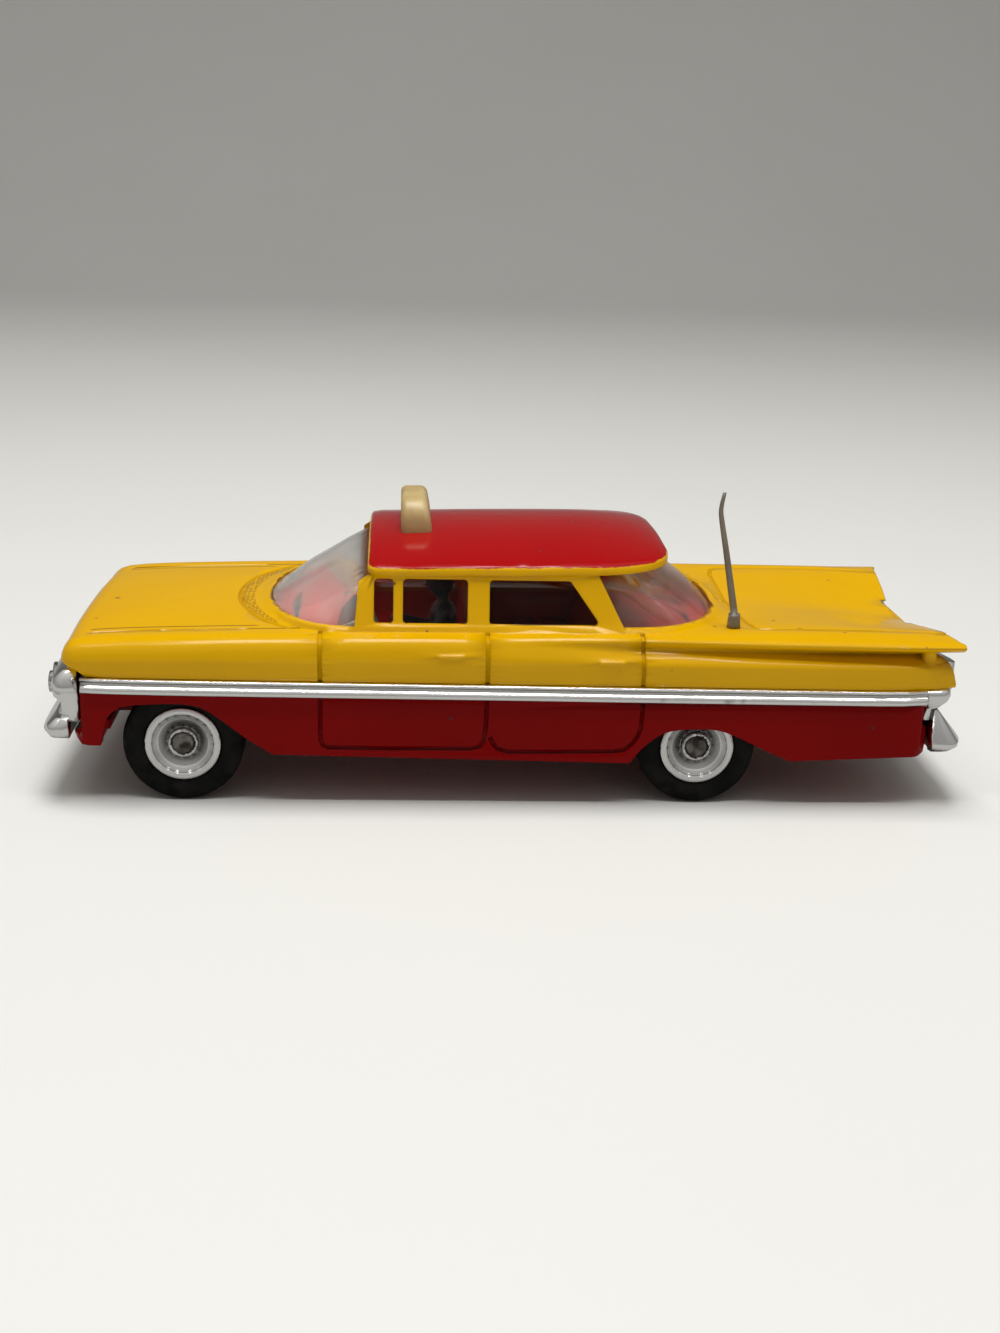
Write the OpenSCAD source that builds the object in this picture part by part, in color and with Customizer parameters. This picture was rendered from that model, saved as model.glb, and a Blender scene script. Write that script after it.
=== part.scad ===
// Die-cast toy taxi: two zinc castings clamped round a plated band, clear glazing,
// a moulded cabin, and four wheels on two sprung axles.
// +X is forward, +Y is the car's left, +Z is up, and the tyres stand on Z = 0.

/* [Castings] */
// Width over the tail fins
body_w = 39.6; // [39:0.2:40.4]
// Distance from the front axle to the end of the bonnet panel
front_overhang = 12; // [11.8:0.1:12.2]
// Distance from the rear axle to the end of the boot panel
rear_overhang = 28; // [27.6:0.1:28.4]
// Height of the bonnet and boot panels above the road
deck_z = 20; // [19.9:0.05:20.2]
// Height of the seam above the plated band, half way along the car
seam_z = 15.15; // [15:0.05:15.3]
// How much higher the seam is at the nose than at the tail
seam_rise = 0.7; // [0.5:0.05:0.9]
// Wall of the upper casting
upper_wall = 1.2; // [1:0.05:1.3]
// Wall of the lower casting
lower_wall = 1.1; // [0.9:0.05:1.2]
// Height of the plated band on the flanks
band_h = 1.95; // [1.8:0.05:2.1]
// How far the flank rolls in at the shoulder
shoulder_roll = 1.75; // [1.5:0.05:2]
// Depth of the undercut below the fin
undercut = 2; // [1.7:0.1:2.2]
// Thickness of the fin at its edge
fin_t = 0.95; // [0.8:0.05:1.1]
// Width of the panel and door grooves
groove_w = 0.55; // [0.45:0.01:0.65]
// Depth of the panel and door grooves
groove_depth = 0.32; // [0.2:0.02:0.4]

/* [Cabin] */
// Height at which the pillars and the glass rise from the panels
belt_z = 20.6; // [20.5:0.05:20.7]
// Height of the lower edge of the side windows
window_low_z = 21.5; // [21.3:0.05:21.7]
// Height of the upper edge of the side windows
window_high_z = 26.55; // [26.4:0.05:26.7]
// Height of the roof's upper edge above its drip rail
rail_z = 28.2; // [28:0.05:28.4]
// Rise of the roof's crown above its edges
roof_crown = 2.3; // [2:0.05:2.5]
// Thickness of the roof
roof_t = 1.1; // [1:0.05:1.2]
// How far the cabin stands in from the flank at the belt
cabin_step = 2.5; // [2.3:0.05:2.7]
// How far the roof's edge stands in from the cabin at the belt
roof_draw = 1.4; // [1.2:0.05:1.6]
// Place of the roof's front edge
roof_front_x = 16.9; // [16.7:0.1:17.1]
// Place of the roof's rear edge
roof_rear_x = -18.8; // [-19:0.1:-18.6]
// Place of the foot of the windscreen on the centre line
screen_x = 30.3; // [30.1:0.1:30.5]
// Place of the foot of the rear window on the centre line
rear_glass_x = -26.8; // [-27:0.1:-26.6]
// Overhang of the drip rail beyond the pillars
rail_proud = 0.4; // [0.3:0.05:0.5]
// Thickness of the pillars
pillar_t = 0.9; // [0.8:0.05:1]
// Thickness of the clear moulding
glass_t = 0.7; // [0.6:0.05:0.8]

/* [Wheels and suspension] */
// Distance between the axles
wheelbase = 60; // [59.5:0.1:60.5]
// Diameter of the tyres
tyre_d = 13.9; // [13.6:0.1:14.1]
// Width of the tyres
tyre_w = 5; // [4.8:0.1:5.1]
// Diameter of the plated wheel discs
hub_d = 8.66; // [8.4:0.1:9]
// How far the wheel discs stand in from the flank
wheel_inset = 2.3; // [2.25:0.05:2.4]
// Diameter of the axles
axle_d = 1.9; // [1.7:0.05:2]
// Travel of the suspension
travel = 0.8; // [0.6:0.05:0.8]
// Width of the spring strips
spring_w = 3; // [2.5:0.1:3.5]
// Thickness of the spring strips
spring_t = 0.25; // [0.2:0.01:0.3]

/* [Underside] */
// Height of the sills above the road
sill_z = 6; // [5.9:0.05:6.1]
// Height of the flat middle floor above the road
floor_z = 6.3; // [6.2:0.05:6.4]
// Thickness of the floor
floor_t = 1.1; // [1:0.05:1.2]
// Height of the raised floor over the axles
hump_z = 9.2; // [9.15:0.05:9.3]

/* [Fittings] */
// Height of the aerial's tip above the road
aerial_z = 36.9; // [36:0.1:38]
// Width of the roof sign
sign_w = 12; // [11:0.2:13]
// Height of the roof sign
sign_h = 3.9; // [3.5:0.1:4.2]
// Thickness of the roof sign at its foot
sign_t = 3.8; // [3.4:0.1:4]
// Diameter of the steering wheel
steering_d = 6; // [5.6:0.1:6.4]

/* [Hidden] */

// Fits
overrun = 1;
running_gap = 0.05;
seam_gap = 0.05;
drop_fit = 0.1;

// Places worked out from the driving sizes
half_w = body_w / 2;
panel_reach = (front_overhang + wheelbase + rear_overhang) / 2;
front_axle_x = panel_reach - front_overhang;
cabin_w = body_w - 2 * cabin_step;
roof_w = cabin_w - 2 * roof_draw;
tyre_r = tyre_d / 2;
axle_r = axle_d / 2;
axle_z = tyre_r;
rear_axle_x = front_axle_x - wheelbase;
wheel_face_y = half_w - wheel_inset;
wheel_back_y = wheel_face_y - tyre_w;
seam_slope = seam_rise / (2 * panel_reach);
glass_inset = pillar_t + drop_fit;
roof_mid_x = (roof_front_x + roof_rear_x) / 2;
roof_half = (roof_front_x - roof_rear_x) / 2;

// Height of the seam above the band, at a place along the car
function seam_at(x) = seam_z + seam_slope * x;

// Smooth curve through the rows of a table, at a row number that need not be whole
function row(table, i) = table[max(0, min(len(table) - 1, i))];
function cubic(a, b, c, d, t) =
    (2 * b + (c - a) * t + (2 * a - 5 * b + 4 * c - d) * t * t
    + (3 * b - a - 3 * c + d) * t * t * t) / 2;
function along(table, u) =
    let (i = min(floor(u), len(table) - 2))
    cubic(row(table, i - 1), row(table, i), row(table, i + 1), row(table, i + 2), u - i);
function smooth_rows(table, steps) =
    [for (i = [0 : steps * (len(table) - 1)]) along(table, i / steps)];

// Solid skin over a row of closed rings that have equal numbers of points
module loft(rings) {
    n = len(rings[0]);
    last = (len(rings) - 1) * n;
    points = [for (ring = rings) each ring];
    sides = [
        for (i = [0 : len(rings) - 2], j = [0 : n - 1])
            let (
                a = i * n + j,
                b = i * n + (j + 1) % n,
                first = norm(points[a] - points[b + n]) <= norm(points[b] - points[a + n])
            )
            each first ? [[a, b, b + n], [a, b + n, a + n]] : [[a, b, a + n], [b, b + n, a + n]]
    ];
    first_cap = [for (j = [n - 1 : -1 : 0]) j];
    last_cap = [for (j = [0 : n - 1]) last + j];
    polyhedron(points, concat(sides, [first_cap, last_cap]));
}

// Both halves of a ring, from the points of its left half
function mirrored_ring(x, half) = concat(
    [for (p = half) [x, p[0], p[1]]],
    [for (i = [len(half) - 2 : -1 : 0]) [x, -half[i][0], half[i][1]]]);

// Upper casting, the part below the windows.
// Each row: place along the car as a share of panel_reach; flank width and tuck at the
// seam as shares of half the body width; shoulder and crown heights as shares of deck_z;
// reach of the fin as a share of half the body width; height of its edge as a share of
// deck_z; and how far the round shoulder has turned into a fin.
panel_shares = [
    [ 1.026, 0.885, 0.020, 0.900, 0.930, 0.880, 0.900, 0.00],
    [ 1.012, 0.935, 0.022, 0.947, 0.972, 0.930, 0.947, 0.00],
    [ 0.980, 0.975, 0.025, 0.980, 1.000, 0.970, 0.980, 0.00],
    [ 0.880, 0.992, 0.025, 0.998, 1.018, 0.990, 0.998, 0.00],
    [ 0.720, 0.995, 0.023, 1.012, 1.030, 0.992, 1.015, 0.00],
    [ 0.520, 0.995, 0.023, 1.026, 1.038, 0.992, 1.024, 0.00],
    [ 0.240, 0.993, 0.023, 1.036, 1.040, 0.988, 1.024, 0.00],
    [ 0.000, 0.990, 0.023, 1.038, 1.040, 0.980, 1.024, 0.05],
    [-0.240, 0.988, 0.021, 1.042, 1.042, 0.978, 1.028, 0.36],
    [-0.500, 0.985, 0.020, 1.046, 1.032, 0.980, 1.022, 0.70],
    [-0.760, 0.980, 0.018, 1.048, 0.985, 0.982, 1.018, 0.92],
    [-0.920, 0.968, 0.016, 1.042, 0.940, 0.982, 1.020, 1.00],
    [-1.044, 0.893, 0.016, 1.028, 0.910, 0.982, 1.022, 1.00]
];
panel_steps = 2;

// Half section at one row: points from the seam up over the shoulder to the middle.
// The flank shares are of its height, the roll shares of shoulder_roll.
flank_low_share = 0.17;
flank_full_share = 0.4;
round_flank_shares = [0.62, 0.76, 0.86, 0.93, 0.98];
round_roll_shares = [0.06, 0.17, 0.34, 0.6, 1];
fin_flank_shares = [0.5, 0.64];
fin_cut_shares = [0.2, 1, 0.7];
fin_edge_shares = [1.25, 0.6, 0.15];
ridge_share = 0.88;
panel_edge_share = 0.77;
quarter_share = 0.4;
quarter_crown_share = 0.84;
quarter_dip_share = 0.5;
function section_keys(r) =
    let (
        s = seam_at(r[0] * panel_reach),
        w = r[1] * half_w,
        tuck = r[2] * half_w,
        top = r[3] * deck_z,
        crown = r[4] * deck_z,
        fin_y = r[5] * half_w,
        fin_z = r[6] * deck_z,
        h = top - s,
        rounded = [for (i = [0 : 4])
            [w - round_roll_shares[i] * shoulder_roll, s + round_flank_shares[i] * h]],
        finned = [
            [w - fin_cut_shares[0] * undercut, s + fin_flank_shares[0] * h],
            [w - fin_cut_shares[1] * undercut, s + fin_flank_shares[1] * h],
            [fin_y - fin_cut_shares[2] * undercut, fin_z - fin_edge_shares[0] * fin_t],
            [fin_y, fin_z - fin_edge_shares[1] * fin_t],
            [fin_y - fin_edge_shares[2] * fin_t, fin_z]
        ]
    )
    concat(
        [[w - tuck, s], [w - tuck * (1 - flank_full_share), s + flank_low_share * h],
            [w, s + flank_full_share * h]],
        [for (i = [0 : 4]) rounded[i] + (finned[i] - rounded[i]) * r[7]],
        [[ridge_share * w, top], [panel_edge_share * w, top],
            [quarter_share * w,
                top + blend(quarter_crown_share, quarter_dip_share, r[7]) * (crown - top)], [0, crown]]);
section_steps = 2;
panel_rows = smooth_rows(panel_shares, panel_steps);
function panel_ring(r) =
    mirrored_ring(r[0] * panel_reach, smooth_rows(section_keys(r), section_steps));
panel_rings = [for (r = panel_rows) panel_ring(r)];

// A ring drawn in by a depth along its own normals
function drawn_in(ring, depth) = [
    for (j = [0 : len(ring) - 1])
        let (
            n = len(ring),
            d = ring[min(j + 1, n - 1)] - ring[max(j - 1, 0)],
            m = norm([d[1], d[2]])
        )
        ring[j] + depth * [0, -d[2], d[1]] / m
];

module panels() {
    loft(panel_rings);
}

// What lies outside the panels by less than a groove's depth
module groove_skin() {
    difference() {
        children();
        loft([for (ring = panel_rings) drawn_in(ring, groove_depth)]);
    }
}

// Hollow below the panels
cavity_low_z = sill_z;
cavity_flank_share = 0.45;
cavity_top_share = 0.72;
cavity_rows = [for (i = [panel_steps * 2 : panel_steps : len(panel_rows) - 1]) panel_rows[i]];
module panel_cavity() {
    loft([for (r = cavity_rows)
        let (
            x = r[0] * panel_reach,
            s = seam_at(x),
            top = r[3] * deck_z,
            w = (r[1] - r[2]) * half_w - upper_wall - r[7] * undercut / 2
        )
        mirrored_ring(x, [
            [w, cavity_low_z],
            [w, s + cavity_flank_share * (top - s)],
            [cavity_top_share * w, min(top, r[4] * deck_z) - upper_wall],
            [0, min(top, r[4] * deck_z) - upper_wall]
        ])]);
}

// Cabin: plan outlines at a level between the belt (0) and the roof (1)
post_foot_x = 19.3;
post_head_x = 16;
quarter_foot_x = -12.7;
quarter_head_x = -9.7;
screen_head_depth = 0.7;
rear_head_depth = 7;
screen_power_shares = [2, 3.6];
rear_power_shares = [2.4, 3.2];
glass_bulge = 0.75;
cabin_points = 16;
function blend(a, b, t) = a + (b - a) * t;
function lobe(angle, power) = pow(abs(angle), 2 / power);
function cabin_outline(level, inset) =
    let (
        t = max(0, level),
        w = blend(cabin_w, roof_w - 2 * rail_proud, t) / 2 - inset,
        front_x = blend(post_foot_x, post_head_x, t),
        rear_x = blend(quarter_foot_x, quarter_head_x, t),
        bulge = glass_bulge * sin(180 * min(1, t)),
        front_d = blend(screen_x - post_foot_x, screen_head_depth, t) + bulge - inset,
        rear_d = blend(quarter_foot_x - rear_glass_x, rear_head_depth, t) + bulge - inset,
        pf = blend(screen_power_shares[0], screen_power_shares[1], t),
        pr = blend(rear_power_shares[0], rear_power_shares[1], t)
    )
    concat(
        [for (i = [0 : cabin_points])
            let (a = 90 - 180 * i / cabin_points)
            [front_x + front_d * lobe(cos(a), pf), w * sign(sin(a)) * lobe(sin(a), pf)]],
        [for (i = [0 : cabin_points])
            let (a = -90 + 180 * i / cabin_points)
            [rear_x - rear_d * lobe(cos(a), pr), w * sign(sin(a)) * lobe(sin(a), pr)]]);

// Roof surface
roof_tilt_share = 0.016;
roof_front_fall_share = 0.24;
roof_rear_fall_share = 0.75;
roof_rear_power = 4;
function roof_top(x, y) =
    let (
        across = y / (roof_w / 2),
        lengthwise = (x - roof_mid_x) / roof_half,
        fall = lengthwise > 0
            ? roof_front_fall_share * lengthwise * lengthwise
            : roof_rear_fall_share * pow(-lengthwise, roof_rear_power)
    )
    rail_z - roof_tilt_share * x + roof_crown * (1 - across * across) * max(0, 1 - fall);
function cabin_ring(t, inset, drop) = [
    for (p = cabin_outline(t, inset))
        let (rise = t < 0 ? rail_z - roof_t - belt_z : roof_top(p[0], p[1]) - roof_t - drop - belt_z)
        [p[0], p[1], belt_z + t * rise]
];
cabin_levels = [0, 0.35, 0.7];
lid_shares = [0.6, 0.03];
function lid_ring(t, inset, drop, share) = [
    for (p = cabin_outline(t, inset))
        let (x = blend(roof_mid_x, p[0], share), y = share * p[1])
        [x, y, belt_z + t * (roof_top(x, y) - roof_t - drop - belt_z)]
];
module cabin_solid(inset, drop, low, high) {
    between = [for (t = cabin_levels) if (t > low && t < high) t];
    loft(concat(
        [for (t = concat([low], between, [high])) cabin_ring(t, inset, drop)],
        [for (share = lid_shares) lid_ring(high, inset, drop, share)]));
}

roof_rings_shares = [1, 0.985, 0.93, 0.8, 0.6, 0.35, 0.02];
roof_edge_shares = [0.42, 0.12, 0, 0, 0, 0, 0];
roof_powers_shares = [24, 5];
roof_points = 16;
function roof_outline(grow) = concat(
    [for (i = [0 : roof_points])
        let (a = 90 - 180 * i / roof_points)
        [roof_mid_x + grow * roof_half * lobe(cos(a), roof_powers_shares[0]),
            grow * roof_w / 2 * sign(sin(a)) * lobe(sin(a), roof_powers_shares[0])]],
    [for (i = [1 : roof_points - 1])
        let (a = -90 + 180 * i / roof_points)
        [roof_mid_x - grow * roof_half * lobe(cos(a), roof_powers_shares[1]),
            grow * roof_w / 2 * sign(sin(a)) * lobe(sin(a), roof_powers_shares[1])]]);
function roof_ring(grow, drop) =
    [for (p = roof_outline(grow)) [p[0], p[1], roof_top(p[0], p[1]) - drop]];
module roof() {
    count = len(roof_rings_shares);
    loft(concat(
        [for (i = [count - 1 : -1 : 0]) roof_ring(roof_rings_shares[i], roof_t)],
        [for (i = [0 : count - 1])
            roof_ring(roof_rings_shares[i], roof_edge_shares[i] * roof_t)]));
}

// Openings in the cabin walls, drawn from the side
window_corner_r = 0.45;
post_front_low_x = 18.3;
post_front_high_x = 17.8;
screen_sill_z = 21.1;
quarter_rear_low_x = -12.7;
quarter_rear_high_x = -9.7;
rear_sill_z = 21.3;
vent_x = [16.1, 13.9];
front_window_x = [12.8, 5.4];
rear_window_low_x = [2.9, -9.6];
rear_window_high_x = [2.9, -6.6];
module side_window(low_x, high_x) {
    rotate([90, 0, 0])
        linear_extrude(body_w, center = true)
            hull()
                for (k = [0, 1])
                    let (turn = k == 0 ? -1 : 1) {
                        translate([low_x[k] + turn * window_corner_r,
                            window_low_z + window_corner_r])
                            circle(window_corner_r, $fn = 16);
                        translate([high_x[k] + turn * window_corner_r,
                            window_high_z - window_corner_r])
                            circle(window_corner_r, $fn = 16);
                    }
}
module screen_opening() {
    rotate([90, 0, 0])
        linear_extrude(body_w, center = true)
            polygon([
                [post_front_low_x, screen_sill_z], [screen_x + overrun, screen_sill_z],
                [screen_x + overrun, rail_z + roof_crown],
                [post_front_high_x - overrun / 2, rail_z + roof_crown],
                [post_front_high_x, rail_z - roof_t]
            ]);
}
module rear_opening() {
    rotate([90, 0, 0])
        linear_extrude(body_w, center = true)
            polygon([
                [quarter_rear_low_x, rear_sill_z], [rear_glass_x - overrun, rear_sill_z],
                [rear_glass_x - overrun, rail_z + roof_crown],
                [quarter_rear_high_x, rail_z + roof_crown],
                [quarter_rear_high_x, rail_z - roof_t]
            ]);
}
wall_foot_share = -0.12;
wall_head_share = 1.06;
module cabin_walls() {
    difference() {
        cabin_solid(0, 0, wall_foot_share, wall_head_share);
        cabin_solid(pillar_t, -roof_t, wall_foot_share * 2, wall_head_share * wall_head_share);
        side_window(vent_x, vent_x);
        side_window(front_window_x, front_window_x);
        side_window(rear_window_low_x, rear_window_high_x);
        screen_opening();
        rear_opening();
    }
}

// Door grooves, drawn from the side: places as shares of panel_reach, heights as shares
// of the way from the foot of the doors to the belt
door_low_z = 7.2;
front_door_shares = [
    [0.443, 1.04], [0.442, 0.6], [0.442, 0.12], [0.441, 0.07], [0.436, 0.025], [0.425, 0.006],
    [0.28, 0], [0.095, 0.004], [0.075, 0.025], [0.066, 0.08], [0.062, 0.2], [0.061, 0.6], [0.062, 1.04]
];
rear_door_shares = [
    [0.052, 0.11], [0.045, 0.05], [0.034, 0.006], [0.01, -0.022], [-0.1, -0.02], [-0.24, -0.012],
    [-0.262, 0.002], [-0.28, 0.06], [-0.292, 0.13], [-0.298, 0.2], [-0.3, 0.36], [-0.297, 0.7],
    [-0.294, 1.04]
];
function door_path(shares) = [
    for (r = shares)
        [r[0] * panel_reach, door_low_z + r[1] * (belt_z - door_low_z)]
];

// Outline of a line of a width along a path
function path_normal(path, i) =
    let (d = path[min(i + 1, len(path) - 1)] - path[max(i - 1, 0)])
    [-d[1], d[0]] / norm(d);
function stroke(path, width) = concat(
    [for (i = [0 : len(path) - 1]) path[i] + path_normal(path, i) * width / 2],
    [for (i = [len(path) - 1 : -1 : 0]) path[i] - path_normal(path, i) * width / 2]);
module door_lines() {
    for (shares = [front_door_shares, rear_door_shares])
        rotate([90, 0, 0])
            linear_extrude(body_w + overrun, center = true)
                polygon(stroke(door_path(shares), groove_w));
}

// Panel grooves, drawn from above: bonnet edges, boot lid and the scuttle's rim
bonnet_line_shares = [[0.965, 0.775], [0.8, 0.785], [0.61, 0.785]];
boot_line_shares = [
    [-1.1, 0.765], [-0.8, 0.765], [-0.6, 0.762], [-0.572, 0.74], [-0.558, 0.6], [-0.55, 0]
];
scuttle_depth = 2.4;
scuttle_side_share = 0.18;
scuttle_turn = 62;
module panel_line(path) {
    linear_extrude(deck_z * 2)
        polygon(stroke(path, groove_w));
}
function plan_path(shares, side) =
    [for (r = shares) [r[0] * panel_reach, side * r[1] * half_w]];
function scuttle_path() = [
    for (i = [0 : cabin_points])
        let (a = blend(-1, 1, i / cabin_points) * scuttle_turn)
        [post_foot_x + (screen_x + scuttle_depth - post_foot_x) * cos(a),
            (cabin_w / 2 + scuttle_side_share * scuttle_depth) * sin(a)]
];
module panel_lines() {
    for (side = [-1, 1]) {
        panel_line(plan_path(bonnet_line_shares, side));
        panel_line(plan_path(boot_line_shares, side));
    }
    panel_line(scuttle_path());
}

// Cuts that shape the nose and the tail
brow_z = 16.95;
brow_rise = 0.72;
brow_step = 1.6;
brow_x = panel_reach - brow_step;
nose_x = panel_shares[0][0] * panel_reach;
tail_x = -panel_shares[len(panel_shares) - 1][0] * panel_reach;
module nose_cut() {
    rotate([90, 0, 0])
        linear_extrude(body_w + overrun, center = true)
            polygon([
                [brow_x, seam_at(brow_x)], [brow_x + fin_t, seam_at(brow_x) + brow_rise],
                [nose_x + fin_t, brow_z + fin_t / 2], [nose_x + fin_t, sill_z], [brow_x, sill_z]
            ]);
}
tail_shares = [[-0.985, 0.955], [-1.005, 0.93], [-1.022, 0.89], [-1.034, 0.83], [-1.047, 0.74]];
tail_roof_share = 0.962;
module tail_cut() {
    rotate([90, 0, 0])
        linear_extrude(body_w + overrun, center = true)
            polygon(concat(
                [for (r = tail_shares) [r[0] * panel_reach, r[1] * deck_z]],
                [[-tail_x - overrun, tail_shares[4][1] * deck_z],
                    [-tail_x - overrun, tail_roof_share * deck_z],
                    [tail_shares[0][0] * panel_reach, tail_roof_share * deck_z]]));
}
deck_edge_shares = [
    [-1.1, 0.985], [-1.047, 0.955], [-1.033, 0.86], [-1.022, 0.7], [-1.012, 0.45], [-0.998, 0.2], [-0.99, 0]
];
edge_steps = 2;
module deck_cut() {
    path = smooth_rows(deck_edge_shares, edge_steps);
    translate([0, 0, tail_roof_share * deck_z - fin_t])
        linear_extrude(deck_z)
            polygon(concat(
                [for (r = path) [r[0] * panel_reach, r[1] * half_w]],
                [for (i = [len(path) - 2 : -1 : 0])
                    [path[i][0] * panel_reach, -path[i][1] * half_w]]));
}
// Room for the plated lamp panel, and blocks that end the undercut at the tail
lamp_panel_w_share = 0.828;
lamp_panel_d = 2.4;
lamp_sweep = 2.55;
lamp_panel_low_z = 14;
lamp_panel_high_z = 17.35;
lamp_panel_half = lamp_panel_w_share * half_w;
// Rear face from the middle outwards: shares of half its width and of its sweep
lamp_face_shares = [[0, 0], [0.25, 0.17], [0.5, 0.4], [0.7, 0.7], [0.85, 0.94], [0.93, 1], [1, 0.72]];
function lamp_edge(grow, step) = [
    for (r = lamp_face_shares)
        [step - panel_reach - r[1] * lamp_sweep, r[0] * (lamp_panel_half + grow)]
];
function both_sides(half) = concat(
    [for (i = [len(half) - 1 : -1 : 1]) [half[i][0], -half[i][1]]], half);
module lamp_panel(grow) {
    outer = both_sides(lamp_edge(grow, -grow));
    inner = both_sides(lamp_edge(grow, lamp_panel_d + grow));
    translate([0, 0, lamp_panel_low_z])
        linear_extrude(lamp_panel_high_z - lamp_panel_low_z + grow)
            polygon(concat(outer, [for (i = [len(inner) - 1 : -1 : 0]) inner[i]]));
}
block_r = 0.9;
block_x_shares = [-0.972, -1.03];
block_y_shares = [0.875, 0.82];
module tail_blocks() {
    for (side = [-1, 1])
        hull()
            for (i = [0, 1])
                translate([block_x_shares[i] * panel_reach,
                    side * block_y_shares[i] * half_w, seam_at(-tail_x)])
                    cylinder(h = deck_z - seam_at(-tail_x), r = block_r, $fn = 24);
}

// Door handles, raised on the flanks: places as shares of panel_reach and of deck_z
handle_len = 2.9;
handle_h = 0.7;
handle_proud_share = 0.78;
handle_shares = [[0.145, 0.925], [-0.223, 0.9]];
handle_y_share = 0.98;
module door_handles() {
    for (side = [-1, 1], r = handle_shares)
        hull()
            for (end = [-1, 1])
                translate([r[0] * panel_reach + end * (handle_len - handle_h) / 2,
                    side * handle_y_share * half_w, r[1] * deck_z])
                    scale([1, handle_proud_share, 1 / 2])
                        sphere(handle_h, $fn = 10);
}

// Posts that hold the castings together, spun over below the floor
post_r = 2;
rivet_r = 1.1;
rivet_head_r = 1.8;
rivet_head_h = 0.5;
post_places_shares = [0.67, -0.72];
function post_floor(i) = i == 0 ? hump_z : tail_floor_z;
post_flare_share = 1.6;
module posts() {
    for (i = [0, 1])
        translate([post_places_shares[i] * panel_reach, 0, 0]) {
            translate([0, 0, post_floor(i) + floor_t])
                cylinder(h = deck_z - upper_wall - post_floor(i) - floor_t, r = post_r, $fn = 20);
            hull()
                for (share = [1, post_flare_share])
                    translate([0, 0, deck_z - upper_wall - post_r * (post_flare_share - share)])
                        cylinder(h = rivet_head_h, r = post_r * share, $fn = 20);
            translate([0, 0, post_floor(i) - rivet_head_h])
                cylinder(h = floor_t + 2 * rivet_head_h, r = rivet_r, $fn = 20);
            translate([0, 0, post_floor(i) - rivet_head_h])
                cylinder(h = rivet_head_h, r1 = rivet_r, r2 = rivet_head_r, $fn = 20);
        }
}

cabin_low_share = -1;
module upper_body() {
    color("gold") {
        difference() {
            union() {
                panels();
                door_handles();
                tail_blocks();
            }
            panel_cavity();
            cabin_solid(pillar_t, 0, cabin_low_share, wall_head_share);
            groove_skin()
                door_lines();
            groove_skin()
                panel_lines();
            nose_cut();
            tail_cut();
            deck_cut();
            lamp_panel(drop_fit);
            aerial_seat(drop_fit);
        }
        cabin_walls();
        posts();
    }
    color("firebrick")
        difference() {
            roof();
            sign_peg(drop_fit, sign_peg_h + overrun);
        }
}

// Plan outline with round corners
function corner(x, y, r, from) = [
    for (i = [0 : 5]) [x + r * cos(from + 18 * i), y + r * sin(from + 18 * i)]
];
function rounded_plan(x0, x1, w, r) = concat(
    corner(x1 - r, w - r, r, 0), corner(x0 + r, w - r, r, 90),
    corner(x0 + r, r - w, r, 180), corner(x1 - r, r - w, r, 270));

// Lower casting: skirts drawn from the side
lower_w_share = 0.965;
skirt_lean = 0.45;
skirt_front_step = 0.8;
skirt_nose_step = 1.2;
skirt_rear_step = 0.5;
skirt_tuck = 1.2;
skirt_front_x = panel_reach - skirt_front_step;
skirt_nose_x = skirt_front_x + skirt_nose_step;
skirt_rear_x = skirt_rear_step - panel_reach;
skirt_rear_top_x = skirt_rear_x + skirt_tuck;
nose_low_z = 7.3;
nose_step_z = 9.4;
tail_low_z = 6.6;
lower_corner_r = 3;
end_wall = 2.4;
skirt_tail_shares = [[0, 0.64], [0.42, 0.57], [1, 0.34], [1, 0.2], [0.6, 0.05], [-0.25, 0]];
front_arch_z = 12.4;
rear_arch_z = 9.8;
// Wheel arches: places from the axle as shares of the tyre's radius, heights as shares
// of the arch's own height above the sill
front_arch_shares = [
    [1.3, 0.2], [1.26, 0.42], [1.18, 0.72], [0.95, 0.93], [0.55, 0.985], [0, 1],
    [-0.35, 0.93], [-0.65, 0.72], [-1.05, 0.37], [-1.5, 0.05]
];
rear_arch_shares = [
    [1.17, -0.12], [1.05, 0.2], [0.9, 0.5], [0.65, 0.85], [0.35, 0.99], [-0.1, 1.02],
    [-0.4, 0.93], [-0.75, 0.66], [-1.15, 0.3], [-1.55, -0.02]
];
arch_steps = 2;
function arch_path(shares, axle_x, arch_z) = [
    for (r = smooth_rows(shares, arch_steps))
        [axle_x + r[0] * tyre_r, sill_z + r[1] * (arch_z - sill_z)]
];
function band_low(x) = seam_at(x) - band_h;
function skirt_outline() = concat(
    [[skirt_front_x, band_low(skirt_front_x)], [skirt_front_x, nose_step_z],
        [skirt_nose_x, (nose_step_z + nose_low_z) / 2], [skirt_front_x, nose_low_z]],
    arch_path(front_arch_shares, front_axle_x, front_arch_z),
    arch_path(rear_arch_shares, rear_axle_x, rear_arch_z),
    [for (i = [len(skirt_tail_shares) - 1 : -1 : 0])
        [blend(skirt_rear_top_x, skirt_rear_x, skirt_tail_shares[i][0]),
            blend(tail_low_z, band_low(skirt_rear_x), skirt_tail_shares[i][1])]],
    [[skirt_rear_top_x, band_low(skirt_rear_top_x)]]);
module side_prism(points, width) {
    rotate([90, 0, 0])
        linear_extrude(width, center = true)
            polygon(points);
}
module plan_prism(side_inset, end_inset, low, high) {
    translate([0, 0, low])
        linear_extrude(high - low)
            polygon(rounded_plan(skirt_rear_x + end_inset, skirt_nose_x - end_inset,
                lower_w_share * half_w - side_inset, lower_corner_r - side_inset / 2));
}
module lean_prism(inset) {
    w = lower_w_share * half_w - inset;
    rotate([90, 0, 90])
        linear_extrude(body_w * 4, center = true)
            polygon([
                [-w, seam_z], [w, seam_z], [w, front_arch_z - skirt_lean],
                [w - skirt_lean, 0], [skirt_lean - w, 0], [-w, front_arch_z - skirt_lean]
            ]);
}
wheel_room = 1;
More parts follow.
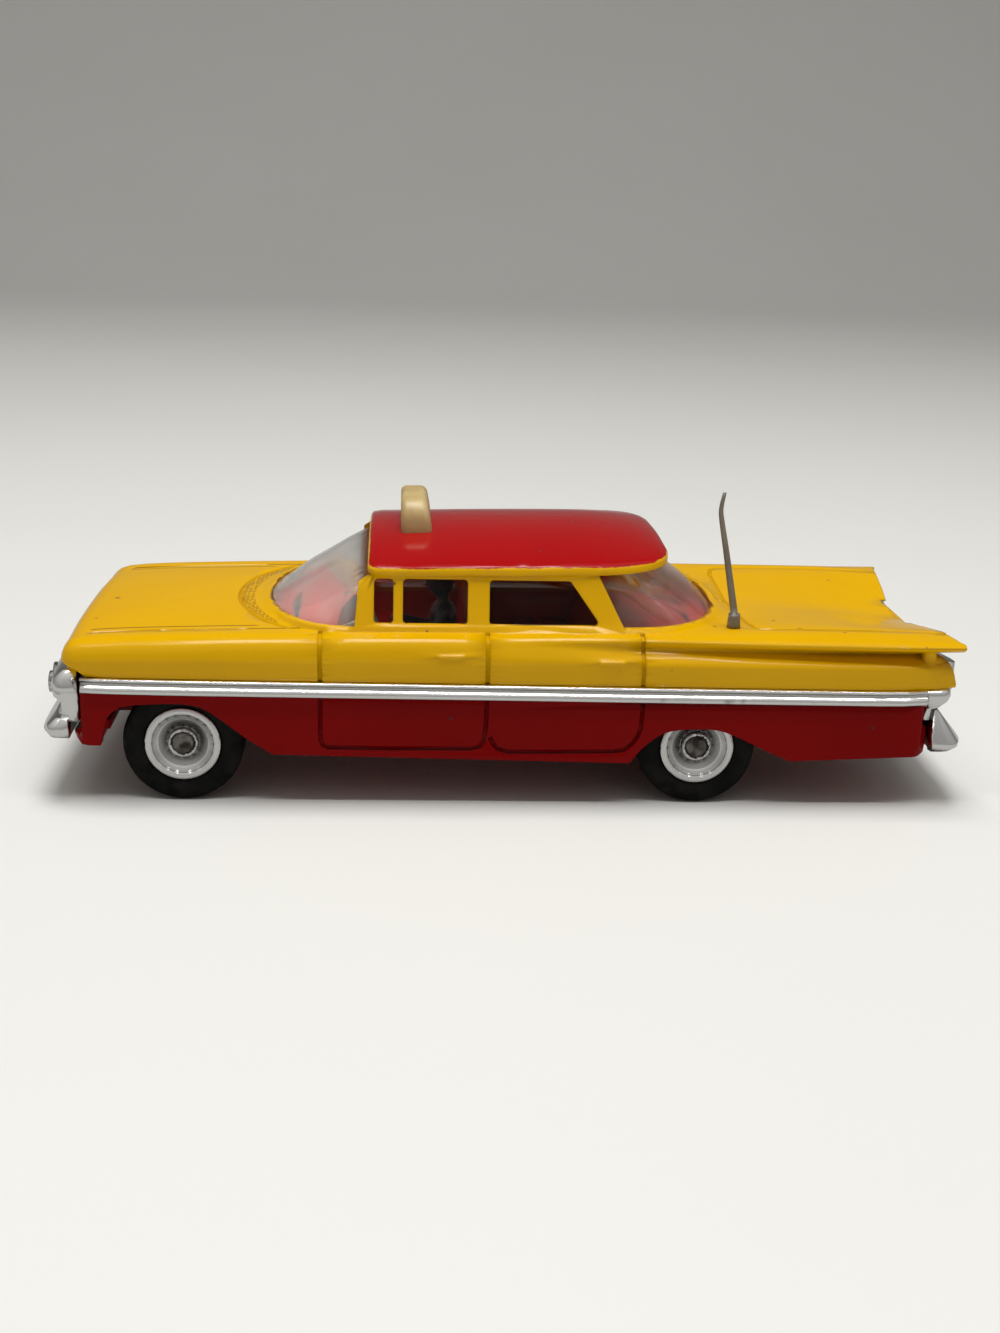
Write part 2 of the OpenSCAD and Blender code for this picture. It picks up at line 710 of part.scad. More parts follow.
wheel_side_gap = 0.35;
module wheel_room_cut(x, out_y) {
    back = wheel_back_y - wheel_room / 2;
    for (side = [-1, 1])
        translate([x - tyre_r - wheel_room, side < 0 ? -out_y : back, 0])
            cube([2 * (tyre_r + wheel_room), out_y - back, deck_z]);
}
module skirts() {
    difference() {
        intersection() {
            side_prism(skirt_outline(), body_w);
            plan_prism(0, 0, 0, seam_z);
            lean_prism(0);
        }
        plan_prism(lower_wall + skirt_lean, end_wall, 0, deck_z);
        for (x = [front_axle_x, rear_axle_x])
            wheel_room_cut(x, wheel_face_y + wheel_side_gap);
        difference() {
            door_lines();
            lean_prism(groove_depth);
        }
    }
}

// Floor: a stepped plate, raised over the axles
tail_floor_z = 6.9;
nose_floor_z = 7.6;
hump_half = 8.4;
hump_ramp = 2.4;
function floor_path() = [
    [skirt_nose_x - lower_wall, nose_floor_z], [front_axle_x + hump_half + hump_ramp / 4, nose_floor_z],
    [front_axle_x + hump_half, hump_z], [front_axle_x - hump_half, hump_z],
    [front_axle_x - hump_half - hump_ramp, floor_z], [rear_axle_x + hump_half + hump_ramp, floor_z],
    [rear_axle_x + hump_half, hump_z], [rear_axle_x - hump_half, hump_z],
    [rear_axle_x - hump_half - hump_ramp, tail_floor_z], [skirt_rear_x + lower_wall, tail_floor_z]
];
module floor_plate() {
    path = floor_path();
    count = len(path);
    intersection() {
        side_prism(concat(path, [for (i = [count - 1 : -1 : 0]) path[i] + [0, floor_t]]), body_w);
        plan_prism(lower_wall / 2, lower_wall / 2, 0, deck_z);
    }
}
// Axle hangers: two webs with upright slots
hanger_t = 1.4;
hanger_inset = 2.9;
hanger_y = wheel_back_y - hanger_inset;
hanger_half = 3;
hanger_rim = 1.3;
module hanger(x) {
    for (side = [-1, 1])
        translate([x, side * hanger_y, 0])
            rotate([90, 0, 0])
                linear_extrude(hanger_t, center = true)
                    difference() {
                        union() {
                            translate([0, axle_z])
                                circle(axle_r + hanger_rim, $fn = 48);
                            polygon([
                                [-hanger_half, hump_z + floor_t / 2], [hanger_half, hump_z + floor_t / 2],
                                [axle_r + hanger_rim, axle_z], [-axle_r - hanger_rim, axle_z]
                            ]);
                        }
                        for (lift = [0, travel])
                            translate([0, axle_z + lift])
                                circle(axle_r + running_gap, $fn = 48);
                        translate([-axle_r - running_gap, axle_z])
                            square([2 * (axle_r + running_gap), travel]);
                    }
}
module lower_body() {
    color("darkred")
        difference() {
            union() {
                skirts();
                difference() {
                    floor_plate();
                    for (x = [front_axle_x, rear_axle_x])
                        wheel_room_cut(x, half_w);
                }
                hanger(front_axle_x);
                hanger(rear_axle_x);
            }
            for (share = post_places_shares)
                translate([share * panel_reach, 0, 0])
                    cylinder(h = deck_z, r = rivet_r + running_gap, $fn = 48);
        }
}

// Plated band along one flank, following the seam between two rows of panel_shares.
// Section points: how far out of the casting's face as shares of band_proud, and how far
// down as shares of its height.
band_proud = 0.75;
band_depth = 1;
band_section_shares = [
    [0.6, 0], [0.78, 0.08], [0.7, 0.2], [0.3, 0.27], [0.3, 0.42],
    [0.7, 0.5], [1, 0.68], [0.9, 0.88], [0.55, 1]
];
band_ends_shares = [2, 11.34];
band_steps = 24;
function band_ring(r) =
    let (
        x = r[0] * panel_reach,
        y = (r[1] - r[2]) * half_w,
        z = seam_at(x) - seam_gap,
        h = band_h - 2 * seam_gap
    )
    concat(
        [for (p = band_section_shares) [x, y + p[0] * band_proud, z - p[1] * h]],
        [[x, y - band_depth, z - h], [x, y - band_depth, z]]);
module side_band() {
    loft([for (i = [band_steps : -1 : 0])
        band_ring(along(panel_shares, blend(band_ends_shares[0], band_ends_shares[1], i / band_steps)))]);
}
module side_trim_left() {
    color("silver")
        side_band();
}
module side_trim_right() {
    color("silver")
        mirror([0, 1, 0])
            side_band();
}

// Bumpers wrap round the ends. Each row of a profile: reach beyond the back, reach to the
// side and height, as shares of the piece's own sizes, from its upper edge to its lower.
wrap_power = 5.5;
wrap_points = 20;
wrap_turn = 85;
wrap_end_share = 0.05;
function wrap_ring(a, depth, back, way, side, low, high, shares) = [
    for (p = shares)
        [way * (back + p[0] * depth),
            p[1] * side * sign(sin(a)) * lobe(sin(a), wrap_power), blend(low, high, p[2])]
];
module wrap(back, way, reach, side, low, high, shares) {
    depth = reach - back;
    turns = [for (i = [0 : wrap_points]) way * wrap_turn * (1 - 2 * i / wrap_points)];
    loft(concat(
        [wrap_ring(turns[0], wrap_end_share * depth, back, way, side, low, high, shares)],
        [for (a = turns) wrap_ring(a, depth * lobe(cos(a), wrap_power), back, way, side, low, high, shares)],
        [wrap_ring(turns[wrap_points], wrap_end_share * depth, back, way, side, low, high, shares)]));
}
// Tongue that the castings clamp
tongue_w_share = 0.66;
tongue_w = tongue_w_share * body_w;
tongue_len = 3;
module tongue(end_x, way) {
    low = band_low(end_x) + seam_gap / 2;
    translate([way > 0 ? end_x - tongue_len : end_x - tongue_len / 2, -tongue_w / 2, low])
        cube([tongue_len * 3 / 2, tongue_w, band_h * 3 / 4]);
}
end_gap = 0.15;
front_side_share = 0.96;
front_side = front_side_share * half_w;
roll_depth = 3.9;
roll_back_x = skirt_front_x + end_gap;
roll_reach = roll_back_x + roll_depth;
roll_low_z = 10;
roll_high_z = 16.55;
roll_shares = [
    [0, 0.9, 0.86], [0.45, 0.93, 0.93], [0.63, 0.965, 0.91], [0.9, 0.985, 0.775], [1, 1, 0.63],
    [0.99, 0.995, 0.57], [0.95, 0.985, 0.545], [0.985, 0.99, 0.52], [0.95, 0.99, 0.42],
    [0.72, 0.975, 0.31], [0.72, 0.97, 0.12], [0.9, 0.975, 0], [0, 0.9, 0]
];
front_blade_depth = 3.65;
front_blade_back_x = skirt_nose_x + end_gap;
front_reach = front_blade_back_x + front_blade_depth;
front_blade_low_z = 7.9;
front_blade_high_z = 10.3;
front_blade_shares = [
    [0, 0.93, 1], [0.6, 0.975, 1], [0.9, 0.995, 0.62], [1, 1, 0.36], [0.86, 0.985, 0.07],
    [0.4, 0.955, 0], [0, 0.93, 0.1]
];
lamp_r = 1.25;
lamp_places_shares = [0.62, 0.8];
lamp_z = 13.75;
lamp_proud = 0.08;
function roll_x(share) = blend(roll_back_x, roll_reach,
    pow(1 - pow(share, wrap_power), 1 / wrap_power));
module headlamp(share) {
    face = roll_x(share) + lamp_proud - roll_back_x;
    rotate([0, 90, 0])
        difference() {
            cylinder(h = face, r = lamp_r, $fn = 32);
            translate([0, 0, face + lamp_r])
                sphere(lamp_r + lamp_proud, $fn = 32);
        }
}
grille_w_share = 0.52;
grille_w = grille_w_share * body_w;
grille_bar_h = 0.32;
grille_bars = 5;
grille_depth = 0.8;
module front_bumper() {
    color("silver")
        difference() {
            union() {
                wrap(roll_back_x, 1, roll_reach, front_side, roll_low_z, roll_high_z, roll_shares);
                wrap(front_blade_back_x, 1, front_reach, front_side, front_blade_low_z,
                    front_blade_high_z, front_blade_shares);
                for (side = [-1, 1], share = lamp_places_shares)
                    translate([roll_back_x, side * share * front_side, lamp_z])
                        headlamp(share);
                tongue(skirt_front_x, 1);
            }
            for (i = [0 : grille_bars - 1])
                translate([roll_reach - grille_depth, -grille_w / 2,
                    lamp_z + (i - (grille_bars - 1) / 2) * 2 * grille_bar_h - grille_bar_h / 2])
                    cube([grille_depth + overrun, grille_w, grille_bar_h]);
        }
}

rear_side_share = 0.94;
rear_side = rear_side_share * half_w;
step_depth = 4.1;
step_back_x = end_gap - skirt_rear_top_x;
step_reach = step_back_x + step_depth;
step_low_z = 10.6;
step_shares = [
    [0, 0.91, 1], [0.85, 0.975, 1], [0.98, 0.99, 0.9], [1, 0.995, 0.76], [0.93, 0.985, 0.6],
    [0.7, 0.965, 0.42], [0.5, 0.95, 0.36], [0.5, 0.95, 0.05], [0, 0.91, 0]
];
rear_blade_depth = 4.55;
rear_blade_back_x = end_gap - skirt_rear_x;
rear_reach = rear_blade_back_x + rear_blade_depth;
rear_blade_low_z = 7;
rear_blade_high_z = 12;
rear_blade_shares = [
    [0, 0.92, 0.7], [0.25, 0.94, 1], [1, 1, 0.22], [0.98, 0.995, 0.1], [0.8, 0.975, 0],
    [0.1, 0.93, 0], [0, 0.92, 0.06]
];
// Tail lamp lenses on the panel, wider at their outer ends
tail_lens_r = [0.5, 0.85];
tail_lens_rows = [2, 4];
module rear_bumper() {
    color("silver") {
        wrap(step_back_x, -1, step_reach, rear_side, step_low_z, seam_at(-tail_x) - seam_gap, step_shares);
        wrap(rear_blade_back_x, -1, rear_reach, rear_side, rear_blade_low_z, rear_blade_high_z,
            rear_blade_shares);
        tongue(skirt_rear_top_x, -1);
        lamp_panel(0);
        for (side = [-1, 1])
            hull()
                for (i = [0, 1])
                    let (place = lamp_edge(0, tail_lens_r[i] / 2)[tail_lens_rows[i]])
                    translate([place[0], side * place[1], (seam_at(-tail_x) + lamp_panel_high_z) / 2])
                        sphere(tail_lens_r[i], $fn = 16);
    }
}

// Clear moulding: windscreen, side lights and rear window in one
glass_low_z = 19;
lid_gap = 0.3;
module glazing() {
    low = (glass_low_z - belt_z) / (rail_z - roof_t - belt_z);
    color("whitesmoke", 0.35)
        difference() {
            cabin_solid(glass_inset, lid_gap, low, 1);
            cabin_solid(glass_inset + glass_t, lid_gap + glass_t, low * 2, 1);
        }
}

// Cabin moulding: a folded sheet with dash, two benches and a rear shelf, between two side
// walls and under a rim that carries the glass. Drawn from the side: places as shares of
// panel_reach, heights as shares of the tub's depth.
tub_low_z = floor_z + floor_t;
tub_inset = 2.6;
tub_w = cabin_w - 2 * tub_inset;
tub_t = 1;
rim_t = 0.8;
rim_w = 3;
seat_shares = [
    [0.5, 0.96], [0.45, 1.08], [0.42, 1], [0.405, 0.3], [0.39, 0.1], [0.3, 0.08], [0.27, 0.14],
    [0.255, 0.44], [0.235, 0.5], [0.135, 0.45], [0.11, 0.55], [0.09, 1.02], [0.075, 1.06],
    [0.06, 1], [0.045, 0.2], [0.03, 0.09], [-0.055, 0.09], [-0.07, 0.16], [-0.08, 0.46],
    [-0.1, 0.51], [-0.185, 0.46], [-0.205, 0.58], [-0.235, 1], [-0.26, 1.03], [-0.33, 0.98],
    [-0.44, 0.96]
];
tub_side_shares = [[0.405, 0], [0.45, 0.97], [-0.33, 0.97], [-0.185, 0]];
function tub_points(shares) =
    [for (r = shares) [r[0] * panel_reach, blend(tub_low_z, glass_low_z, r[1])]];
module interior() {
    color("red")
        difference() {
            union() {
                intersection() {
                    union() {
                        side_prism(stroke(tub_points(seat_shares), tub_t), tub_w + tub_t);
                        for (side = [-1, 1])
                            translate([0, side * (tub_w + tub_t) / 2, 0])
                                side_prism(tub_points(tub_side_shares), tub_t);
                    }
                    linear_extrude(belt_z)
                        polygon(cabin_outline(0, glass_inset + glass_t + drop_fit));
                }
                translate([0, 0, glass_low_z - rim_t])
                    linear_extrude(rim_t)
                        difference() {
                            polygon(cabin_outline(0, glass_inset));
                            polygon(cabin_outline(0, glass_inset + rim_w));
                        }
            }
            steering_place()
                cylinder(h = column_len + overrun, r = column_r + drop_fit, $fn = 32);
        }
}

// Steering wheel on a column that stands in the dash
steering_x = 16.6;
seat_y_share = 0.374;
steering_y = seat_y_share * half_w;
steering_z = 19.6;
steering_tilt = 114;
steering_rim_r = 0.42;
spokes = 3;
column_r = 0.5;
column_len = 4.4;
module steering_place() {
    translate([steering_x, steering_y, steering_z])
        rotate([0, steering_tilt, 0])
            children();
}
module steering_wheel() {
    color("dimgray")
        steering_place() {
            rotate_extrude($fn = 40)
                translate([steering_d / 2 - steering_rim_r, 0])
                    circle(steering_rim_r, $fn = 16);
            for (i = [0 : spokes - 1])
                rotate([0, 0, 360 * i / spokes])
                    translate([0, -steering_rim_r / 2, -steering_rim_r / 2])
                        cube([steering_d / 2 - steering_rim_r, steering_rim_r, steering_rim_r]);
            cylinder(h = column_len, r = column_r, $fn = 32);
        }
}

// Driver: a seated figure in a cap. Places and radii are shares of its height.
driver_x = 8.3;
driver_y = seat_y_share * half_w;
driver_z = 13.5;
driver_head_gap = 1.5;
driver_h = rail_z - driver_z - driver_head_gap;
hip_shares = [-0.02, 0, 0.08];
hip_size_shares = [0.08, 0.11, 0.08];
chest_shares = [-0.03, 0, 0.5];
chest_size_shares = [0.13, 0.2, 0.15];
neck_shares = [[-0.03, 0, 0.6], [-0.02, 0, 0.72]];
head_shares = [0, 0, 0.81];
head_size_shares = [0.125, 0.105, 0.14];
nose_shares = [[0.11, 0, 0.83], [0.13, 0, 0.79]];
cap_shares = [-0.01, 0, 0.88];
cap_size_shares = [0.11, 0.145, 0.1];
peak_shares = [[0.09, -0.06, 0.885], [0.09, 0.06, 0.885], [0.15, 0, 0.87]];
arm_shares = [[-0.03, 0.21, 0.57], [0.08, 0.24, 0.33], [0.4, 0.15, 0.42]];
leg_shares = [[0.02, 0.1, 0.08], [0.36, 0.12, 0.11]];
neck_r_share = 0.06;
nose_r_share = 0.02;
peak_r_share = 0.025;
arm_r_share = 0.055;
leg_r_share = 0.07;
module ball(place, size, sides) {
    translate(place * driver_h)
        scale(size)
            sphere(driver_h, $fn = sides);
}
module limb(places, r, side) {
    hull()
        for (p = places)
            ball([p[0], side * p[1], p[2]], [r, r, r], 8);
}
module driver() {
    color("midnightblue")
        translate([driver_x, driver_y, driver_z]) {
            hull() {
                ball(hip_shares, hip_size_shares, 12);
                ball(chest_shares, chest_size_shares, 12);
            }
            limb(neck_shares, neck_r_share, 1);
            ball(head_shares, head_size_shares, 14);
            limb(nose_shares, nose_r_share, 1);
            translate(cap_shares * driver_h)
                cylinder(h = cap_size_shares[2] * driver_h, r1 = cap_size_shares[0] * driver_h,
                    r2 = cap_size_shares[1] * driver_h, $fn = 16);
            limb(peak_shares, peak_r_share, 1);
            for (side = [-1, 1]) {
                limb([arm_shares[0], arm_shares[1]], arm_r_share, side);
                limb([arm_shares[1], arm_shares[2]], arm_r_share, side);
                limb(leg_shares, leg_r_share, side);
            }
        }
}

// Roof sign: an arch across the roof, on a peg. Outline: shares of its width and height.
sign_front_x = 13.1;
sign_lean = 0.7;
sign_peg_r = 1.2;
sign_peg_h = 1;
sign_shares = [
    [0.5, -0.2], [0.5, 0.25], [0.47, 0.55], [0.4, 0.8], [0.28, 0.94], [0.14, 0.99], [0, 1]
];
sign_mid_x = sign_front_x - sign_t / 2;
sign_foot_z = roof_top(sign_mid_x, sign_w / 2);
sign_roof_share = 0.9;
sign_edge_r = 0.8;
function sign_corner(x, z, turn) = [
    for (i = [0 : edge_steps * 2])
        let (a = turn + 90 * i / (edge_steps * 2))
        [x + sign_edge_r * cos(a), z + sign_edge_r * sin(a)]
];
module sign_peg(grow, depth) {
    translate([sign_mid_x, 0, roof_top(sign_mid_x, 0) - depth])
        cylinder(h = depth + sign_t / 4, r = sign_peg_r + grow, $fn = 32);
}
module roof_sign() {
    top = sign_foot_z + sign_h;
    half = [for (r = smooth_rows(sign_shares, edge_steps))
        [r[0] * sign_w, sign_foot_z + r[1] * sign_h]];
    color("wheat") {
        difference() {
            intersection() {
                translate([sign_mid_x, 0, 0])
                    rotate([90, 0, 90])
                        linear_extrude(sign_t, center = true)
                            polygon(concat(half, [for (i = [len(half) - 2 : -1 : 0])
                                [-half[i][0], half[i][1]]]));
                side_prism(concat(
                    [[sign_front_x, sign_foot_z - sign_h / 2]],
                    sign_corner(sign_front_x - sign_edge_r, top - sign_edge_r, 0),
                    sign_corner(sign_front_x - sign_t + sign_lean + sign_edge_r, top - sign_edge_r, 90),
                    [[sign_front_x - sign_t, sign_foot_z],
                        [sign_front_x - sign_t, sign_foot_z - sign_h / 2]]), body_w);
            }
            loft(concat([roof_ring(sign_roof_share, sign_h)],
                [for (share = roof_rings_shares)
                    if (share < sign_roof_share) roof_ring(share, -seam_gap / 2)]));
        }
        sign_peg(0, sign_peg_h);
    }
}

// Aerial: a collar on the boot's front corner and a bowed whip. Path: lean and height as
// shares of the whip's height.
aerial_x = -25.9;
aerial_y_share = 0.727;
aerial_y = aerial_y_share * half_w;
aerial_foot_z = 20.95;
collar_r = 0.8;
collar_taper_share = 0.85;
collar_h = 1.6;
whip_low_r = 0.45;
whip_high_r = 0.22;
whip_shares = [[0, 0], [0.06, 0.3], [0.11, 0.55], [0.155, 0.76], [0.17, 0.87], [0.15, 1]];
whip_steps = 3;
whip_sides = 10;
aerial_peg_h = 1.6;
module aerial_seat(grow) {
    translate([aerial_x, aerial_y, aerial_foot_z - aerial_peg_h])
        cylinder(h = aerial_peg_h + collar_h / 2, r = whip_low_r + grow, $fn = 24);
}
module aerial() {
    low = aerial_foot_z + collar_h;
    rows = smooth_rows(whip_shares, whip_steps);
    last = len(rows) - 1;
    color("gray") {
        aerial_seat(0);
        translate([aerial_x, aerial_y, aerial_foot_z + seam_gap])
            cylinder(h = collar_h, r1 = collar_r, r2 = collar_taper_share * collar_r, $fn = 32);
        loft([for (i = [0 : last])
            let (r = blend(whip_low_r, whip_high_r, i / last))
            [for (k = [0 : whip_sides - 1])
                let (a = -360 * k / whip_sides)
                [aerial_x + rows[i][0] * (aerial_z - low) + r * cos(a), aerial_y + r * sin(a),
                    blend(low, aerial_z, rows[i][1])]]]);
    }
}

// Axles with spun-over ends
axle_head_r = 1.35;
axle_head_h = 0.45;
axle_head_share = 0.8;
head_seat = 0.85;
module axle(x) {
    half = wheel_face_y - head_seat + running_gap;
    color("dimgray")
        translate([x, 0, axle_z])
            rotate([90, 0, 0]) {
                cylinder(h = 2 * half, r = axle_r, center = true, $fn = 32);
                for (side = [-1, 1])
                    rotate([0, side < 0 ? 180 : 0, 0])
                        translate([0, 0, half])
                            cylinder(h = axle_head_h, r1 = axle_head_r,
                                r2 = axle_head_share * axle_head_r, $fn = 32);
            }
}

// Bowed spring strip between an axle and the raised floor
spring_reach = hanger_y - hanger_t;
module spring(x) {
    low = axle_z + axle_r + running_gap / 2;
    high = hump_z - running_gap / 2;
    rise = high - low - spring_t;
    bow_r = (spring_reach * spring_reach + rise * rise) / (2 * rise);
    color("slategray")
        translate([x, 0, 0])
            rotate([90, 0, 90])
                linear_extrude(spring_w, center = true)
                    intersection() {
                        translate([0, low + bow_r])
                            difference() {
                                circle(bow_r, $fn = 96);
                                circle(bow_r - spring_t, $fn = 96);
                            }
                        translate([-spring_reach, low - overrun])
                            square([2 * spring_reach, high - low + overrun]);
                    }
}

// Wheels, drawn as turned profiles. Shares are of the disc's or tyre's radius, and of the
// tyre's width from the back of the wheel.
hub_r = hub_d / 2;
barrel_drop = 0.4;
flange_t = 0.7;
hub_face_shares = [
    [1, 0.965], [0.96, 1], [0.87, 1], [0.82, 0.955], [0.62, 0.85], [0.45, 0.76], [0.4, 0.755],
    [0.395, 0.9], [0.37, 0.915]
];
hub_back_shares = [[0.44, 0.14], [0.7, 0]];
module hub_profile() {
    bore = axle_r + running_gap;
    seat = axle_head_r + running_gap;
    polygon(concat(
        [[bore, hub_back_shares[0][1] * tyre_w]],
        [for (r = hub_back_shares) [r[0] * hub_r, r[1] * tyre_w]],
        [[hub_r, 0], [hub_r, flange_t], [hub_r - barrel_drop, flange_t],
            [hub_r - barrel_drop, tyre_w - flange_t], [hub_r, tyre_w - flange_t]],
        [for (r = hub_face_shares) [r[0] * hub_r, r[1] * tyre_w]],
        [[seat, tyre_w - axle_head_h], [seat, tyre_w - head_seat], [bore, tyre_w - head_seat]]));
}
tread_groove = 0.25;
tread_shares = [0.36, 0.5, 0.64];
tyre_shares = [
    [0.66, 0.06], [0.7, 0], [0.84, 0], [0.93, 0.04], [0.98, 0.11], [1, 0.2],
    [1, 0.8], [0.98, 0.89], [0.93, 0.96], [0.84, 1], [0.7, 1], [0.66, 0.94]
];
module tyre_profile() {
    gap = running_gap / 2;
    low = hub_r - barrel_drop + gap;
    lip = hub_r + gap;
    difference() {
        polygon(concat(
            [[low, flange_t + gap], [lip, flange_t + gap], [lip, tyre_shares[0][1] * tyre_w]],
            [for (r = tyre_shares) [r[0] * tyre_r, r[1] * tyre_w]],
            [[lip, (1 - tyre_shares[0][1]) * tyre_w], [lip, tyre_w - flange_t - gap],
                [low, tyre_w - flange_t - gap]]));
        for (share = tread_shares)
            translate([tyre_r - tread_groove, share * tyre_w - tread_groove / 2])
                square([tread_groove + overrun, tread_groove]);
    }
}
module wheel_place(x, side) {
    translate([x, side * wheel_back_y, axle_z])
        rotate([-side * 90, 0, 0])
            children();
}
module hub(x, side) {
    color("silver")
        wheel_place(x, side)
            rotate_extrude($fn = 64)
                hub_profile();
}
module tyre(x, side) {
    color("black")
        wheel_place(x, side)
            rotate_extrude($fn = 64)
                tyre_profile();
}

// One module for each sub-part that is drawn twice or more
module front_axle() {
    axle(front_axle_x);
}
module rear_axle() {
    axle(rear_axle_x);
}
module front_spring() {
    spring(front_axle_x);
}
module rear_spring() {
    spring(rear_axle_x);
}
module hub_front_left() {
    hub(front_axle_x, 1);
}
module hub_front_right() {
    hub(front_axle_x, -1);
}
module hub_rear_left() {
    hub(rear_axle_x, 1);
}
module hub_rear_right() {
    hub(rear_axle_x, -1);
}
module tyre_front_left() {
    tyre(front_axle_x, 1);
}
module tyre_front_right() {
    tyre(front_axle_x, -1);
}
module tyre_rear_left() {
    tyre(rear_axle_x, 1);
}
module tyre_rear_right() {
    tyre(rear_axle_x, -1);
}

upper_body();
lower_body();
front_bumper();
rear_bumper();
side_trim_left();
side_trim_right();
glazing();
interior();
steering_wheel();
driver();
roof_sign();
aerial();
front_axle();
rear_axle();
front_spring();
rear_spring();
hub_front_left();
hub_front_right();
hub_rear_left();
hub_rear_right();
tyre_front_left();
tyre_front_right();
tyre_rear_left();
tyre_rear_right();
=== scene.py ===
import bpy
import math
import numpy
from mathutils import Matrix, Vector
from mathutils.kdtree import KDTree


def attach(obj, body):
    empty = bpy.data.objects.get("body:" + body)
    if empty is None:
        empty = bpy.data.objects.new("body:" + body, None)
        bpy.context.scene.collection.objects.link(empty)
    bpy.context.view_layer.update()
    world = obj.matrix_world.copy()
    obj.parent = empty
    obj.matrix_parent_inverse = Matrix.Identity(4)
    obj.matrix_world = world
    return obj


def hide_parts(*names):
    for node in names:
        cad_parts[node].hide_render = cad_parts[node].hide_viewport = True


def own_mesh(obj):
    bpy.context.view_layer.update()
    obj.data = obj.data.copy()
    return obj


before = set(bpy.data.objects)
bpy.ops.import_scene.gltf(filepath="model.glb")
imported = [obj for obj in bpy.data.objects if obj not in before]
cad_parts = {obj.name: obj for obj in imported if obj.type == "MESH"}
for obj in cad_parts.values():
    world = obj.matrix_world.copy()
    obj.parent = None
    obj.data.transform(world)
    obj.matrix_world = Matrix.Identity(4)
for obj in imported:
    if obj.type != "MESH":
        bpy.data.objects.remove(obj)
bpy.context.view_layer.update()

# Lower casting: the zinc base of the toy, with skirts, wheel arches and axle hangers in one.
# It is cast, then dipped in deep red gloss enamel, and the upper casting is riveted to it.
# Shade is painted darker into the door grooves, and the enamel is rubbed thin by handling.


def dressed_copy(node, name, body, angle, reshape=None):
    """A merged, smooth-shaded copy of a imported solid, which takes that solid's place."""
    bpy.ops.object.select_all(action="DESELECT")
    piece = bpy.data.objects.new(name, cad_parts[node].data.copy())
    bpy.context.scene.collection.objects.link(piece)
    bpy.context.view_layer.objects.active = piece
    piece.select_set(True)
    bpy.ops.object.mode_set(mode="EDIT")
    bpy.ops.mesh.select_all(action="SELECT")
    bpy.ops.mesh.remove_doubles(threshold=0.000002)
    bpy.ops.object.mode_set(mode="OBJECT")
    if reshape:
        reshape(piece)
    bpy.ops.object.shade_smooth_by_angle(angle=math.radians(angle))
    even = piece.modifiers.new("even", "WEIGHTED_NORMAL")
    even.keep_sharp = True
    even.weight = 90
    bpy.ops.object.modifier_apply(modifier="even")
    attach(piece, body)
    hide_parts(node)
    return piece


def coat(piece, material):
    """Gives the whole piece one material."""
    piece.data.materials.clear()
    piece.data.materials.append(material)
    for face in piece.data.polygons:
        face.material_index = 0


def blank_material(name):
    """A new material, with only its output node."""
    made = bpy.data.materials.new(name)
    made.use_nodes = True
    made.node_tree.nodes.clear()
    return made, made.node_tree, made.node_tree.nodes.new("ShaderNodeOutputMaterial")


def add(tree, kind, **values):
    """A shader node whose sockets take the given values, or links from other nodes' sockets."""
    made = tree.nodes.new("ShaderNode" + kind)
    for key, value in values.items():
        if hasattr(made, key) and key not in made.inputs:
            setattr(made, key, value)
            continue
        wanted = int(key[1:]) if key[0] == "_" else key.replace("_", " ")
        if isinstance(value, bpy.types.NodeSocket):
            tree.links.new(value, made.inputs[wanted])
        else:
            made.inputs[wanted].default_value = value
    return made


def noise(tree, place, scale, detail, **more):
    """Soft random patches."""
    return add(tree, "TexNoise", Vector=place, Scale=scale, Detail=detail, **more).outputs["Fac"]


def mapped(tree, value, given, wanted):
    """A value carried from one range onto another, and held at its ends."""
    return add(tree, "MapRange", Value=value, From_Min=given[0], From_Max=given[1],
               To_Min=wanted[0], To_Max=wanted[1]).outputs[0]


def maths(tree, operation, *values):
    """The result of one sum."""
    sockets = {f"_{place}": value for place, value in enumerate(values)}
    return add(tree, "Math", operation=operation, **sockets).outputs[0]


def blended(tree, share, first, second):
    """A mix of two colours."""
    return add(tree, "MixRGB", Fac=share, Color1=first, Color2=second).outputs[0]


def hollow_shade(tree, reach, given, most, only_local=True):
    """A mask of the shade in a surface's hollow places, from how little light reaches them, for painting
    that shade into a colour.
    """
    open_to_light = add(tree, "AmbientOcclusion", only_local=only_local, samples=8, Distance=reach)
    return mapped(tree, open_to_light.outputs["AO"], given, (most, 0.0))


def rounded(tree, radius):
    """A normal that softens the edges."""
    return add(tree, "Bevel", samples=4, Radius=radius).outputs[0]


def bumped(tree, height, strength, distance, **more):
    """A normal that follows small ups and downs."""
    return add(tree, "Bump", Height=height, Strength=strength, Distance=distance, **more).outputs[0]


def shaded(tree, surface, **values):
    """Ends a material with one shader."""
    tree.links.new(add(tree, "BsdfPrincipled", **values).outputs[0], surface.inputs[0])


# Effect shared by the two enamels: uneven thickness, specks and small chips.
enamel_group = bpy.data.node_groups.new("Handled enamel", "ShaderNodeTree")
for flow, names in (("INPUT", ("Colour", "Thin colour", "Chip colour", "Chips")),
                    ("OUTPUT", ("Colour", "Roughness", "Height"))):
    for socket_name in names:
        kind = "NodeSocketColor" if "olour" in socket_name else "NodeSocketFloat"
        enamel_group.interface.new_socket(socket_name, in_out=flow, socket_type=kind)
given = enamel_group.nodes.new("NodeGroupInput").outputs
place = add(enamel_group, "TexCoord").outputs["Object"]
drift = noise(enamel_group, place, 70.0, 3.0)
ripple = noise(enamel_group, place, 420.0, 2.0)
patch = noise(enamel_group, place, 900.0, 4.0)
speck = add(enamel_group, "TexVoronoi", Vector=place, Scale=330.0).outputs["Distance"]
thin = mapped(enamel_group, drift, (0.35, 0.75), (0.0, 0.55))
tone = blended(enamel_group, thin, given["Colour"], given["Thin colour"])
ragged = maths(enamel_group, "MULTIPLY_ADD", patch, 0.22, speck)
